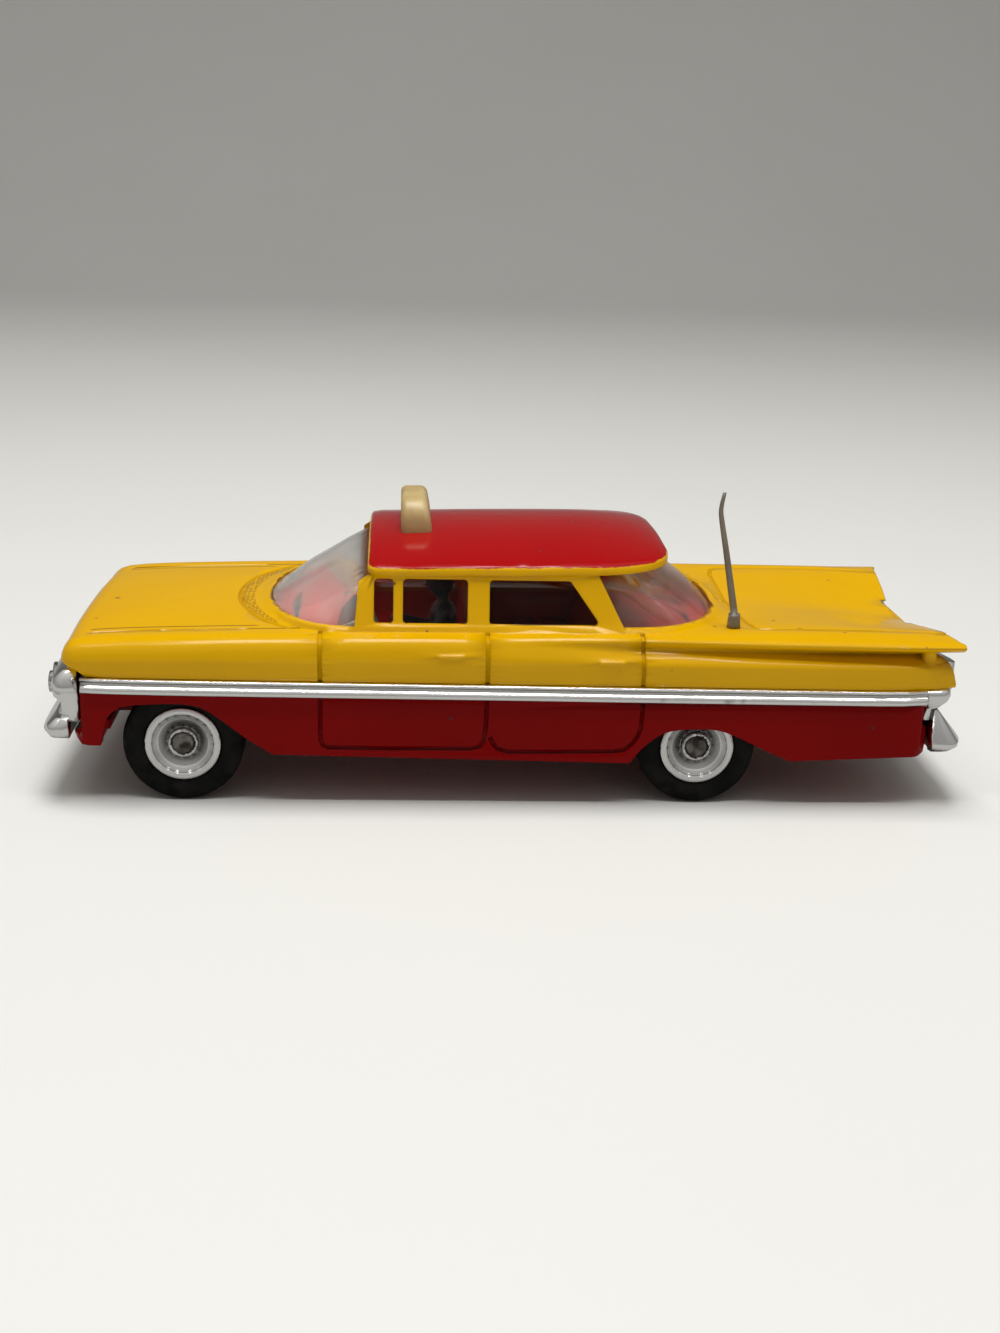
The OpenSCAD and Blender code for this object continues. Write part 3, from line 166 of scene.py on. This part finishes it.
near = mapped(enamel_group, ragged, (0.17, 0.2), (1.0, 0.0))
picked = maths(enamel_group, "GREATER_THAN", drift, 0.56)
chip = maths(enamel_group, "MULTIPLY", near, picked)
chip = maths(enamel_group, "MULTIPLY", chip, given["Chips"])
final = blended(enamel_group, chip, tone, given["Chip colour"])
gloss = mapped(enamel_group, patch, (0.3, 0.8), (0.07, 0.17))
dull = maths(enamel_group, "MULTIPLY_ADD", chip, 0.4, gloss)
lift = maths(enamel_group, "SUBTRACT", ripple, chip)
taken = enamel_group.nodes.new("NodeGroupOutput").inputs
for socket_name, value in (("Colour", final), ("Roughness", dull), ("Height", lift)):
    enamel_group.links.new(value, taken[socket_name])


def enamel(tree, colour, thin_colour, chip_colour, chips):
    """The shared enamel effect, placed in a material with its own values."""
    placed = tree.nodes.new("ShaderNodeGroup")
    placed.node_tree = enamel_group
    placed.inputs["Colour"].default_value = colour
    placed.inputs["Thin colour"].default_value = thin_colour
    placed.inputs["Chip colour"].default_value = chip_colour
    placed.inputs["Chips"].default_value = chips
    return placed.outputs


red_enamel, tree, surface = blank_material("red_enamel")
deep_red, thin_red = (0.2, 0.0009, 0.0009, 1), (0.165, 0.0009, 0.0009, 1)
worn = enamel(tree, deep_red, thin_red, chip_colour=(0.05, 0.02, 0.02, 1), chips=0.6)
# Painted shade: the door grooves and other recesses are darkened towards a near-black red.
painted_hollow_shade = hollow_shade(tree, 0.0011, (0.3, 0.85), most=0.6)
shade = blended(tree, painted_hollow_shade, worn["Colour"], (0.028, 0.001, 0.002, 1))
bump = bumped(tree, worn["Height"], 0.25, 0.00012, Normal=rounded(tree, 0.00022))
shaded(tree, surface, Base_Color=shade, Roughness=worn["Roughness"], Normal=bump,
       Specular_IOR_Level=0.05, Coat_Weight=0.06, Coat_Roughness=0.03)

lower_casting = dressed_copy("lower_body", "lower_casting", "body", 32)
coat(lower_casting, red_enamel)

# Axles and springs: two lengths of steel wire, spun over at their ends to hold the wheels, and
# the bowed strips of spring steel that press them down from the raised floor.
# Bare metal, dulled and a little brown with age.


def graded(tree, value, stops):
    """Colours along a scale, from two places on it and their colours."""
    scale = add(tree, "ValToRGB", Fac=value)
    for stop, (spot, colour) in zip(scale.color_ramp.elements, stops):
        stop.position = spot
        stop.color = colour
    return scale.outputs[0]


bare_steel, tree, surface = blank_material("bare_steel")
place = add(tree, "TexCoord").outputs["Object"]
stain = noise(tree, place, 800.0, 5.0)
tone = graded(tree, stain, ((0.35, (0.05, 0.042, 0.035, 1)), (0.7, (0.3, 0.28, 0.26, 1))))
shaded(tree, surface, Base_Color=tone, Metallic=0.85,
       Roughness=mapped(tree, stain, (0.3, 0.7), (0.6, 0.35)),
       Normal=bumped(tree, stain, 0.4, 0.00008))
axle_places = (("front", 0.038), ("rear", -0.022))
for end, axle_x in axle_places:
    axle = dressed_copy(end + "_axle", end + "_axle_wire", end + "_axle_set", 30)
    coat(axle, bare_steel)
    strip = dressed_copy(end + "_spring", end + "_spring_strip", "body", 40)
    coat(strip, bare_steel)
    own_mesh(strip)

# Wheels: turned discs with a dished face and a rolled lip, spun bright, which carry
# soft black rubber tyres. They turn freely on the axle ends.
bright_disc, tree, surface = blank_material("bright_disc")
radius = add(tree, "Attribute", attribute_name="radius").outputs["Fac"]
place = add(tree, "TexCoord").outputs["Object"]
grime = noise(tree, place, 700.0, 4.0)
turning = maths(tree, "SINE", maths(tree, "MULTIPLY", radius, 52000.0))
# Painted shade: the disc's recesses are darkened, and real grime spots are added to that darkening.
darkening = hollow_shade(tree, 0.0007, (0.4, 0.9), most=0.6)
spots = mapped(tree, grime, (0.7, 0.76), (0.0, 0.5))
darkening = maths(tree, "MAXIMUM", darkening, spots)
disc_span = 0.005
# Painted highlights and shade: bright and dark bands by radius stand in for the light on the lip, the dish
# and the cone.
lit_and_shaded_rings = add(tree, "ValToRGB", Fac=maths(tree, "MULTIPLY", radius, 1 / disc_span))
ring_highlights_and_shade = ((0.24, 0.2), (0.26, 0.82), (0.32, 0.82), (0.345, 0.3), (0.56, 0.42), (0.585, 0.85),
              (0.62, 0.62), (0.69, 0.55), (0.705, 0.22), (0.725, 0.84))
for spot, tone in ring_highlights_and_shade:
    stop = lit_and_shaded_rings.color_ramp.elements.new(spot)
    stop.color = (tone, 0.99 * tone, 0.97 * tone, 1)
lit_and_shaded_rings.color_ramp.elements[-1].color = (0.84, 0.83, 0.81, 1)
tone = blended(tree, darkening, lit_and_shaded_rings.outputs[0], (0.16, 0.14, 0.12, 1))
lathe = add(tree, "Tangent", direction_type="RADIAL", axis="Y").outputs[0]
shaded(tree, surface, Base_Color=tone, Metallic=1.0, Anisotropic=0.8, Tangent=lathe,
       Roughness=mapped(tree, grime, (0.3, 0.7), (0.24, 0.34)),
       Normal=bumped(tree, turning, 0.14, 0.00004))

black_rubber, tree, surface = blank_material("black_rubber")
place = add(tree, "TexCoord").outputs["Object"]
dust = noise(tree, place, 500.0, 5.0, Roughness=0.6)
grain = noise(tree, place, 4000.0, 2.0)
tone = graded(tree, dust, ((0.4, (0.0025, 0.0024, 0.0023, 1)), (0.85, (0.016, 0.015, 0.013, 1))))
shaded(tree, surface, Base_Color=tone, Specular_IOR_Level=0.1,
       Roughness=mapped(tree, dust, (0.3, 0.8), (0.48, 0.75)),
       Normal=bumped(tree, grain, 0.2, 0.00005))
axle_z = 0.00695
for end, axle_x in axle_places:
    for side in ("left", "right"):
        corner = end + "_" + side
        body = "wheel_" + corner
        disc = dressed_copy("hub_" + corner, "disc_" + corner, body, 28)
        reach = disc.data.attributes.new("radius", "FLOAT", "POINT")
        for point in disc.data.vertices:
            off_axle = math.hypot(point.co.x - axle_x, point.co.z - axle_z)
            reach.data[point.index].value = off_axle
        coat(disc, bright_disc)
        tyre = dressed_copy("tyre_" + corner, "rubber_tyre_" + corner, body, 35)
        coat(tyre, black_rubber)

# Cabin moulding: one red plastic piece with the dash, two benches, the rear shelf and the rim
# that carries the glass. It drops into the upper casting from below.
red_plastic, tree, surface = blank_material("red_plastic")
place = add(tree, "TexCoord").outputs["Object"]
drift = noise(tree, place, 160.0, 3.0)
tone = blended(tree, drift, (0.25, 0.006, 0.006, 1), (0.36, 0.012, 0.01, 1))
# Painted shade: the cabin moulding is darkened where little light reaches it.
open_to_light = add(tree, "AmbientOcclusion", only_local=True, samples=8, Distance=0.003)
shade = blended(tree, open_to_light.outputs["AO"], (0.07, 0.004, 0.004, 1), tone)
shaded(tree, surface, Base_Color=shade, Roughness=mapped(tree, drift, (0.3, 0.7), (0.28, 0.42)),
       Normal=bumped(tree, drift, 0.2, 0.0001))
cabin = dressed_copy("interior", "cabin_moulding", "body", 38)
coat(cabin, red_plastic)

# Steering wheel: a small moulding of grey plastic, slightly blotched with age.
# Its column stands in a hole in the dash, and it does not turn.
grey_plastic, tree, surface = blank_material("grey_plastic")
place = add(tree, "TexCoord").outputs["Object"]
drift = noise(tree, place, 600.0, 4.0)
tone = blended(tree, drift, (0.11, 0.09, 0.06, 1), (0.27, 0.235, 0.18, 1))
shaded(tree, surface, Base_Color=tone, Roughness=mapped(tree, drift, (0.3, 0.7), (0.35, 0.55)),
       Normal=bumped(tree, drift, 0.25, 0.00006))
wheel = dressed_copy("steering_wheel", "steering_wheel_moulding", "body", 40)
coat(wheel, grey_plastic)

# Driver: a seated figure in a peaked cap, moulded in dark navy plastic and glued to the bench.
# Eyes, mouth and ears are small swellings of the same moulding.
navy_plastic, tree, surface = blank_material("navy_plastic")
place = add(tree, "TexCoord").outputs["Object"]
drift = noise(tree, place, 500.0, 3.0)
tone = blended(tree, drift, (0.005, 0.007, 0.016, 1), (0.014, 0.018, 0.04, 1))
shaded(tree, surface, Base_Color=tone, Roughness=0.38, Normal=bumped(tree, drift, 0.2, 0.0001))
driver = dressed_copy("driver", "driver_figure", "body", 60)
eye_size = (0.0002, 0.00022, 0.00028)
mouth_size = (0.0002, 0.0005, 0.00013)
ear_size = (0.0004, 0.00022, 0.0005)
face = (((0.0098, 0.0069, 0.0246), eye_size), ((0.0098, 0.0079, 0.0246), eye_size),
        ((0.00978, 0.0074, 0.02345), mouth_size),
        ((0.0081, 0.00605, 0.0243), ear_size), ((0.0081, 0.00875, 0.0243), ear_size))
for spot, size in face:
    bpy.ops.object.select_all(action="DESELECT")
    bpy.ops.mesh.primitive_uv_sphere_add(segments=16, ring_count=8, radius=1, location=spot, scale=size)
    bpy.ops.object.transform_apply(location=True, rotation=False, scale=True)
    bpy.ops.object.shade_smooth()
    driver.select_set(True)
    bpy.context.view_layer.objects.active = driver
    bpy.ops.object.join()
coat(driver, navy_plastic)

# Glazing: windscreen, side lights and rear window blown in one clear plastic moulding, which
# stands on the cabin's rim inside the pillars. The side lights are clear. The windscreen and the
# rear window have fine rubbing marks and a whitish diffuse layer, which stands both for their
# haze and for a painted reflection of the pale surroundings.
clear_plastic, tree, surface = blank_material("clear_plastic")
place = add(tree, "TexCoord").outputs["Object"]
haze = noise(tree, place, 240.0, 5.0, Roughness=0.7)
waves = noise(tree, place, 130.0, 1.0)
glass = add(tree, "BsdfPrincipled", Base_Color=(0.97, 0.965, 0.94, 1), IOR=1.46, Transmission_Weight=1.0,
            Roughness=mapped(tree, haze, (0.35, 0.75), (0.015, 0.11)),
            Normal=bumped(tree, waves, 0.25, 0.0003))
through = add(tree, "BsdfTransparent", Color=(0.94, 0.94, 0.92, 1)).outputs[0]
# Painted reflection, partly real haze: a whitish diffuse layer on the windscreen and the rear window.
haze_and_reflection_layer = add(tree, "BsdfDiffuse", Color=(0.75, 0.74, 0.7, 1)).outputs[0]
along = add(tree, "SeparateXYZ", Vector=place).outputs["X"]
screen = mapped(tree, along, (0.017, 0.019), (0.0, 1.0))
behind = mapped(tree, along, (-0.0125, -0.0105), (0.6, 0.0))
ends = maths(tree, "MULTIPLY_ADD", screen, 2.2, behind)
haze_and_reflection_amount = mapped(tree, haze, (0.3, 0.75), (0.04, 0.1))
haze_and_reflection_amount = maths(tree, "MULTIPLY", haze_and_reflection_amount, ends)
filmed = add(tree, "MixShader", _0=haze_and_reflection_amount, _1=glass.outputs[0], _2=haze_and_reflection_layer).outputs[0]
pane = mapped(tree, ends, (0.0, 1.0), (0.15, 1.0))
filmed = add(tree, "MixShader", _0=pane, _1=through, _2=filmed).outputs[0]
ray = add(tree, "LightPath").outputs
mixed = add(tree, "MixShader", _0=ray["Is Shadow Ray"], _1=filmed, _2=through).outputs[0]
tree.links.new(mixed, surface.inputs[0])
glazing = dressed_copy("glazing", "clear_glazing", "body", 40)
coat(glazing, clear_plastic)

# Upper casting: bonnet, boot, fins, pillars and roof in one zinc piece, sprayed golden yellow,
# then masked and sprayed red on the roof, down to a slightly wavy line above the drip rail.
# Its two posts are spun over below the floor of the lower casting.
yellow_enamel, tree, surface = blank_material("yellow_enamel")
gold, thin_gold = (0.71, 0.385, 0.0004, 1), (0.655, 0.34, 0.0004, 1)
roof_red, thin_roof_red = (0.37, 0.004, 0.005, 1), (0.33, 0.004, 0.005, 1)
worn = enamel(tree, gold, thin_gold, chip_colour=(0.1, 0.06, 0.03, 1), chips=0.8)
roofed = enamel(tree, roof_red, thin_roof_red, chip_colour=(0.12, 0.02, 0.02, 1), chips=0.5)
place = add(tree, "TexCoord").outputs["Object"]
spot = add(tree, "SeparateXYZ", Vector=place).outputs

# The red mask ends a little way down the roof's edge.
depth = add(tree, "Attribute", attribute_name="roof_depth").outputs["Fac"]
edge = maths(tree, "MULTIPLY_ADD", noise(tree, place, 190.0, 2.0), 0.0004, depth)
edge = maths(tree, "MULTIPLY_ADD", noise(tree, place, 1400.0, 2.0), 0.0002, edge)
masked = mapped(tree, edge, (0.00053, 0.0006), (1.0, 0.0))
tone = blended(tree, masked, worn["Colour"], roofed["Colour"])
# Painted shade: the grooves and recesses of the upper casting are darkened towards brown.
painted_hollow_shade = hollow_shade(tree, 0.0009, (0.3, 0.82), most=0.55)
shade = blended(tree, painted_hollow_shade, tone, (0.16, 0.06, 0.001, 1))

# Two fine lines run along each side of the bonnet.
aside = maths(tree, "ABSOLUTE", spot["Y"])
bead_y, seam_y = 0.0143, 0.01555
off_bead = maths(tree, "ABSOLUTE", maths(tree, "SUBTRACT", aside, bead_y))
bead = mapped(tree, off_bead, (0.0001, 0.0002), (1.0, 0.0))
bead = maths(tree, "MULTIPLY", bead, mapped(tree, spot["X"], (0.0292, 0.0298), (0.0, 1.0)))
off_seam = maths(tree, "ABSOLUTE", maths(tree, "SUBTRACT", aside, seam_y))
seam = mapped(tree, off_seam, (0.00012, 0.00024), (1.0, 0.0))
seam = maths(tree, "MULTIPLY", seam, maths(tree, "GREATER_THAN", spot["X"], 0.0245))
lines = maths(tree, "MAXIMUM", bead, seam)
lines = maths(tree, "MULTIPLY", lines, maths(tree, "LESS_THAN", spot["X"], 0.0484))
lines = maths(tree, "MULTIPLY", lines, maths(tree, "GREATER_THAN", spot["Z"], 0.0185))

# A crescent of small vent dots lies before the windscreen, between two ovals about one centre.
vent_x = maths(tree, "MULTIPLY_ADD", spot["X"], 74.6, -1.44)
vent_y = maths(tree, "MULTIPLY", spot["Y"], 56.5)
vent_at = add(tree, "CombineXYZ", X=vent_x, Y=vent_y).outputs[0]
vent_r = add(tree, "VectorMath", operation="LENGTH", _0=vent_at).outputs["Value"]
taper = maths(tree, "MULTIPLY_ADD", maths(tree, "MULTIPLY", vent_y, vent_y), 0.13, 0.865)
holes = add(tree, "TexVoronoi", Vector=place, Scale=2000.0, Randomness=0.45).outputs["Distance"]
vent = mapped(tree, holes, (0.3, 0.55), (1.0, 0.0))
for limit in (maths(tree, "GREATER_THAN", vent_r, taper), maths(tree, "LESS_THAN", vent_r, 0.975),
              maths(tree, "GREATER_THAN", spot["X"], 0.0272)):
    vent = maths(tree, "MULTIPLY", vent, limit)

pressed = maths(tree, "MAXIMUM", lines, vent)
# Painted shade: the pressed lines and the vent dots are darkened in colour, besides being sunk by the bump.
painted_pressed_shade = maths(tree, "MAXIMUM", maths(tree, "MULTIPLY", lines, 0.75), maths(tree, "MULTIPLY", vent, 0.55))
shade = blended(tree, painted_pressed_shade, shade, (0.2, 0.085, 0.004, 1))
bump = bumped(tree, worn["Height"], 0.22, 0.00012, Normal=rounded(tree, 0.0004))
sunk = bumped(tree, pressed, 0.5, 0.00015, Normal=bump, invert=True)
facing = add(tree, "LayerWeight", Blend=0.5).outputs["Facing"]
aslant = mapped(tree, masked, (0.0, 1.0), (0.05, 0.26))
varnish = mapped(tree, facing, (0.2, 0.6), (0.3, aslant))
shaded(tree, surface, Base_Color=shade, Roughness=worn["Roughness"], Normal=sunk,
       Specular_IOR_Level=0.05, Coat_Weight=varnish, Coat_Roughness=0.1)

roof_mid_x, roof_half_length, roof_half_width = -0.00095, 0.01785, 0.0159
rail_z, roof_crown, roof_tilt = 0.0282, 0.0023, 0.016
roof_metal, roof_low_z = 0.00115, 0.0265
long_edge, roof_hub = 0.003, 0.002


def roof_height(x, y):
    """Height of the roof's crowned surface above the road."""
    lengthwise = (x - roof_mid_x) / roof_half_length
    fall = 0.24 * lengthwise ** 2 if lengthwise > 0 else 0.75 * lengthwise ** 4
    crown = roof_crown * (1 - (y / roof_half_width) ** 2) * max(0, 1 - fall)
    return rail_z - roof_tilt * x + crown


def select_edges(piece, wanted):
    """Leaves selected only the edges whose two end points the test wants."""
    bpy.ops.object.mode_set(mode="EDIT")
    bpy.ops.mesh.select_mode(type="EDGE")
    bpy.ops.mesh.select_all(action="DESELECT")
    bpy.ops.object.mode_set(mode="OBJECT")
    points = piece.data.vertices
    for edge in piece.data.edges:
        edge.select = wanted(*(points[index] for index in edge.vertices))
    bpy.ops.object.mode_set(mode="EDIT")


def crown_roof(piece):
    """Cuts the roof's long edges and lifts the new points onto its crown, as deep in the metal as before."""
    piece.data.attributes.new("roof_depth", "FLOAT", "POINT")
    old = len(piece.data.vertices)
    for point, depth in zip(piece.data.vertices, piece.data.attributes["roof_depth"].data):
        depth.value = roof_height(point.co.x, point.co.y) - point.co.z

    def on_roof(point):
        depth = roof_height(point.co.x, point.co.y) - point.co.z
        off_hub = math.hypot(point.co.x - roof_mid_x, point.co.y)
        return -0.0001 < depth < roof_metal and point.co.z > roof_low_z and off_hub > roof_hub

    select_edges(piece, lambda a, b: on_roof(a) and on_roof(b) and (a.co - b.co).length > long_edge)
    bpy.ops.mesh.subdivide(number_cuts=6)
    bpy.ops.object.mode_set(mode="OBJECT")
    depths = piece.data.attributes["roof_depth"].data
    for point in piece.data.vertices[old:]:
        point.co.z = roof_height(point.co.x, point.co.y) - depths[point.index].value
    bpy.ops.object.mode_set(mode="EDIT")
    bpy.ops.mesh.select_all(action="SELECT")
    bpy.ops.mesh.quads_convert_to_tris(quad_method="BEAUTY", ngon_method="BEAUTY")
    bpy.ops.object.mode_set(mode="OBJECT")


def even_normals(piece, reach, spread):
    """Averages each corner's normal with those near it that point almost the same way."""
    mesh = piece.data
    near = KDTree(len(mesh.vertices))
    for point in mesh.vertices:
        near.insert(point.co, point.index)
    near.balance()
    corners_at = [[] for point in mesh.vertices]
    for corner in mesh.loops:
        corners_at[corner.vertex_index].append(corner.index)
    normals = numpy.array([corner.vector for corner in mesh.corner_normals])
    evened = normals.copy()
    for point in mesh.vertices:
        found = [(corner, 1 - far / reach) for place, index, far in near.find_range(point.co, reach)
                 for corner in corners_at[index]]
        around = normals[[corner for corner, weight in found]]
        weights = numpy.array([weight for corner, weight in found])
        for corner in corners_at[point.index]:
            alike = around @ normals[corner] > math.cos(math.radians(spread))
            evened[corner] = ((weights * alike)[:, None] * around).sum(0)
    evened /= numpy.linalg.norm(evened, axis=1)[:, None]
    mesh.normals_split_custom_set(evened.tolist())


upper_casting = dressed_copy("upper_body", "upper_casting", "body", 34, reshape=crown_roof)
even_normals(upper_casting, reach=0.003, spread=10)
coat(upper_casting, yellow_enamel)

# Plated trim: the flank bands, and the front and rear mouldings with their bumpers, lamps and
# grille. Bright vacuum plating on moulded plastic, clamped in the seam between the castings.
bright_plating, tree, surface = blank_material("bright_plating")
place = add(tree, "TexCoord").outputs["Object"]
smear = noise(tree, place, 380.0, 4.0)
pits = noise(tree, place, 2600.0, 2.0)
# Painted shade: the trim's recesses are darkened, and real smudge spots are added to that darkening.
darkening = hollow_shade(tree, 0.0012, (0.4, 0.92), most=0.8)
spots = mapped(tree, smear, (0.66, 0.74), (0.0, 0.5))
darkening = maths(tree, "MAXIMUM", darkening, spots)
tone = blended(tree, darkening, (0.86, 0.855, 0.84, 1), (0.2, 0.18, 0.15, 1))
shaded(tree, surface, Base_Color=tone, Metallic=1.0, Roughness=mapped(tree, smear, (0.3, 0.75), (0.1, 0.26)),
       Normal=bumped(tree, pits, 0.12, 0.00008, Normal=rounded(tree, 0.00018)))
for node, name in (("side_trim_left", "left_flank_band"), ("side_trim_right", "right_flank_band"),
                   ("front_bumper", "front_moulding"), ("rear_bumper", "rear_moulding")):
    trim = dressed_copy(node, name, "body", 40)
    coat(trim, bright_plating)

# Roof sign: a cream plastic block with a rounded top and soft edges, yellowed with age.
# A peg below it holds it in the roof, and its rear face leans forward a little.
cream_plastic, tree, surface = blank_material("cream_plastic")
place = add(tree, "TexCoord").outputs["Object"]
age = noise(tree, place, 260.0, 5.0)
tone = graded(tree, age, ((0.3, (0.36, 0.235, 0.08, 1)), (0.62, (0.53, 0.395, 0.17, 1))))
# Painted shade: the sign is darkened towards brown where the roof and its own recesses keep light from it.
darkening = hollow_shade(tree, 0.0016, (0.3, 0.95), most=0.6, only_local=False)
shade = blended(tree, darkening, tone, (0.2, 0.1, 0.03, 1))
shaded(tree, surface, Base_Color=shade, Roughness=0.42, Normal=bumped(tree, age, 0.25, 0.0001),
       Subsurface_Weight=0.1, Subsurface_Radius=(0.001, 0.0006, 0.0003))
sign_low, sign_top, sign_rear, sign_front, sign_half = 0.0294, 0.03367, 0.0093, 0.0131, 0.006
roof_line_z, sign_lean, hair = 0.0298, 0.0007, 0.00001
bpy.ops.object.select_all(action="DESELECT")
bpy.ops.mesh.primitive_cube_add(
    size=1, location=((sign_rear + sign_front) / 2, 0, (sign_low + sign_top) / 2),
    scale=(sign_front - sign_rear, 2 * sign_half, sign_top - sign_low))
sign = bpy.context.object
sign.name = "roof_sign_moulding"
bpy.ops.object.transform_apply(location=True, rotation=False, scale=True)


def bevel_edges(piece, wanted, width, steps):
    """Rounds the edges whose two end points the test wants."""
    select_edges(piece, wanted)
    bpy.ops.mesh.bevel(offset=width, segments=steps, profile=0.5, affect="EDGES")
    bpy.ops.object.mode_set(mode="OBJECT")


def top_side(a, b):
    """An edge that runs from the front to the rear along the top."""
    return min(a.co.z, b.co.z) > sign_top - hair and abs(a.co.x - b.co.x) > 0.001


def face_rim(a, b):
    """An edge round the front or the rear face, apart from its foot."""
    on_front = min(a.co.x, b.co.x) > sign_front - hair
    on_rear = max(a.co.x, b.co.x) < sign_rear + sign_lean + 0.0001
    in_face = abs(a.co.x - b.co.x) < sign_lean
    return in_face and (on_front or on_rear) and max(a.co.z, b.co.z) > sign_low + hair


bevel_edges(sign, top_side, 0.0026, 10)
for point in sign.data.vertices:
    if point.co.x < sign_rear + hair:
        point.co.x += sign_lean * max(0, (point.co.z - roof_line_z) / (sign_top - roof_line_z))
bevel_edges(sign, face_rim, 0.0007, 5)
bpy.ops.object.shade_smooth_by_angle(angle=math.radians(35))
coat(sign, cream_plastic)
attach(sign, "body")
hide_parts("roof_sign")

# Aerial: a bowed whip and its collar, moulded in one in the same soft grey plastic as the
# steering wheel. Its peg is pushed into a hole beside the boot.
whip = dressed_copy("aerial", "aerial_whip", "body", 45)
coat(whip, grey_plastic)

# Stage: a sheet of pale paper that runs up behind the toy, soft light from above, and a camera
# that stands where the photograph was taken.
bpy.ops.object.select_all(action="DESELECT")
bpy.ops.mesh.primitive_plane_add(size=3.0, location=(0, 0.3, 0))
paper = bpy.context.object
paper.name = "paper"
select_edges(paper, lambda a, b: a.co.y < 0 and b.co.y < 0)
bpy.ops.mesh.extrude_region_move(TRANSFORM_OT_translate={"value": (0, 0, 2)})
bpy.ops.object.mode_set(mode="OBJECT")
bpy.ops.object.transform_apply(location=True)
curl = paper.modifiers.new("curl", "BEVEL")
curl.width = 0.5
curl.segments = 16
bpy.ops.object.modifier_apply(modifier="curl")
bpy.ops.object.shade_smooth()
pale_paper, tree, surface = blank_material("pale_paper")
place = add(tree, "TexCoord").outputs["Object"]
tone = blended(tree, noise(tree, place, 6.0, 3.0), (0.72, 0.715, 0.68, 1), (0.77, 0.765, 0.735, 1))
sheet = add(tree, "BsdfPrincipled", Base_Color=tone, Roughness=0.6).outputs[0]
mirrored = add(tree, "BsdfDiffuse", Color=(0.4, 0.4, 0.385, 1)).outputs[0]
ray = add(tree, "LightPath").outputs
seen = add(tree, "MixShader", _0=ray["Is Glossy Ray"], _1=sheet, _2=mirrored).outputs[0]
tree.links.new(seen, surface.inputs[0])
coat(paper, pale_paper)

sky = bpy.data.worlds.new("studio")
bpy.context.scene.world = sky
sky.use_nodes = True
tree = sky.node_tree
tree.nodes.clear()
way = add(tree, "TexCoord").outputs["Generated"]
height = add(tree, "SeparateXYZ", Vector=way).outputs["Z"]
level = mapped(tree, height, (-0.2, 0.9), (0.06, 0.36))
lift = mapped(tree, add(tree, "LightPath").outputs["Is Glossy Ray"], (0.0, 1.0), (1.0, 1.9))
level = maths(tree, "MULTIPLY", level, lift)
glow = add(tree, "Background", Color=(1.0, 0.985, 0.96, 1), Strength=level).outputs[0]
tree.links.new(glow, tree.nodes.new("ShaderNodeOutputWorld").inputs[0])
toy_middle_z = 0.015
for name, spot, length, depth, power in (("overhead", (0.02, 0.02, 0.62), 0.24, 0.24, 2.5),
                                         ("strip", (0.0, 0.2, 0.6), 0.8, 0.04, 1.6)):
    lamp = bpy.data.objects.new(name, bpy.data.lights.new(name, "AREA"))
    lamp.data.shape = "RECTANGLE"
    lamp.data.size = length
    lamp.data.size_y = depth
    lamp.data.energy = power
    lamp.location = spot
    aim = Vector((spot[0], 0, toy_middle_z)) - Vector(spot)
    lamp.rotation_euler = aim.to_track_quat("-Z", "Y").to_euler()
    bpy.context.scene.collection.objects.link(lamp)

yaw, pitch, roll = (math.radians(angle) for angle in (3.89, 17.18, 1.77))
ahead = Vector((-math.sin(yaw) * math.cos(pitch), -math.cos(yaw) * math.cos(pitch), -math.sin(pitch)))
level_right = Vector((-math.cos(yaw), math.sin(yaw), 0))
level_up = level_right.cross(ahead)
right = math.cos(roll) * level_right + math.sin(roll) * level_up
up = -math.sin(roll) * level_right + math.cos(roll) * level_up
camera = bpy.data.objects.new("camera", bpy.data.cameras.new("camera"))
camera.matrix_world = Matrix((right, up, -ahead)).transposed().to_4x4()
camera.location = (0.013544, 0.193505, 0.071341)
camera.data.sensor_width = 36
camera.data.lens = 43.354
camera.data.clip_start = 0.005
bpy.context.scene.collection.objects.link(camera)
bpy.context.scene.camera = camera
bpy.context.scene.view_settings.view_transform = "Standard"
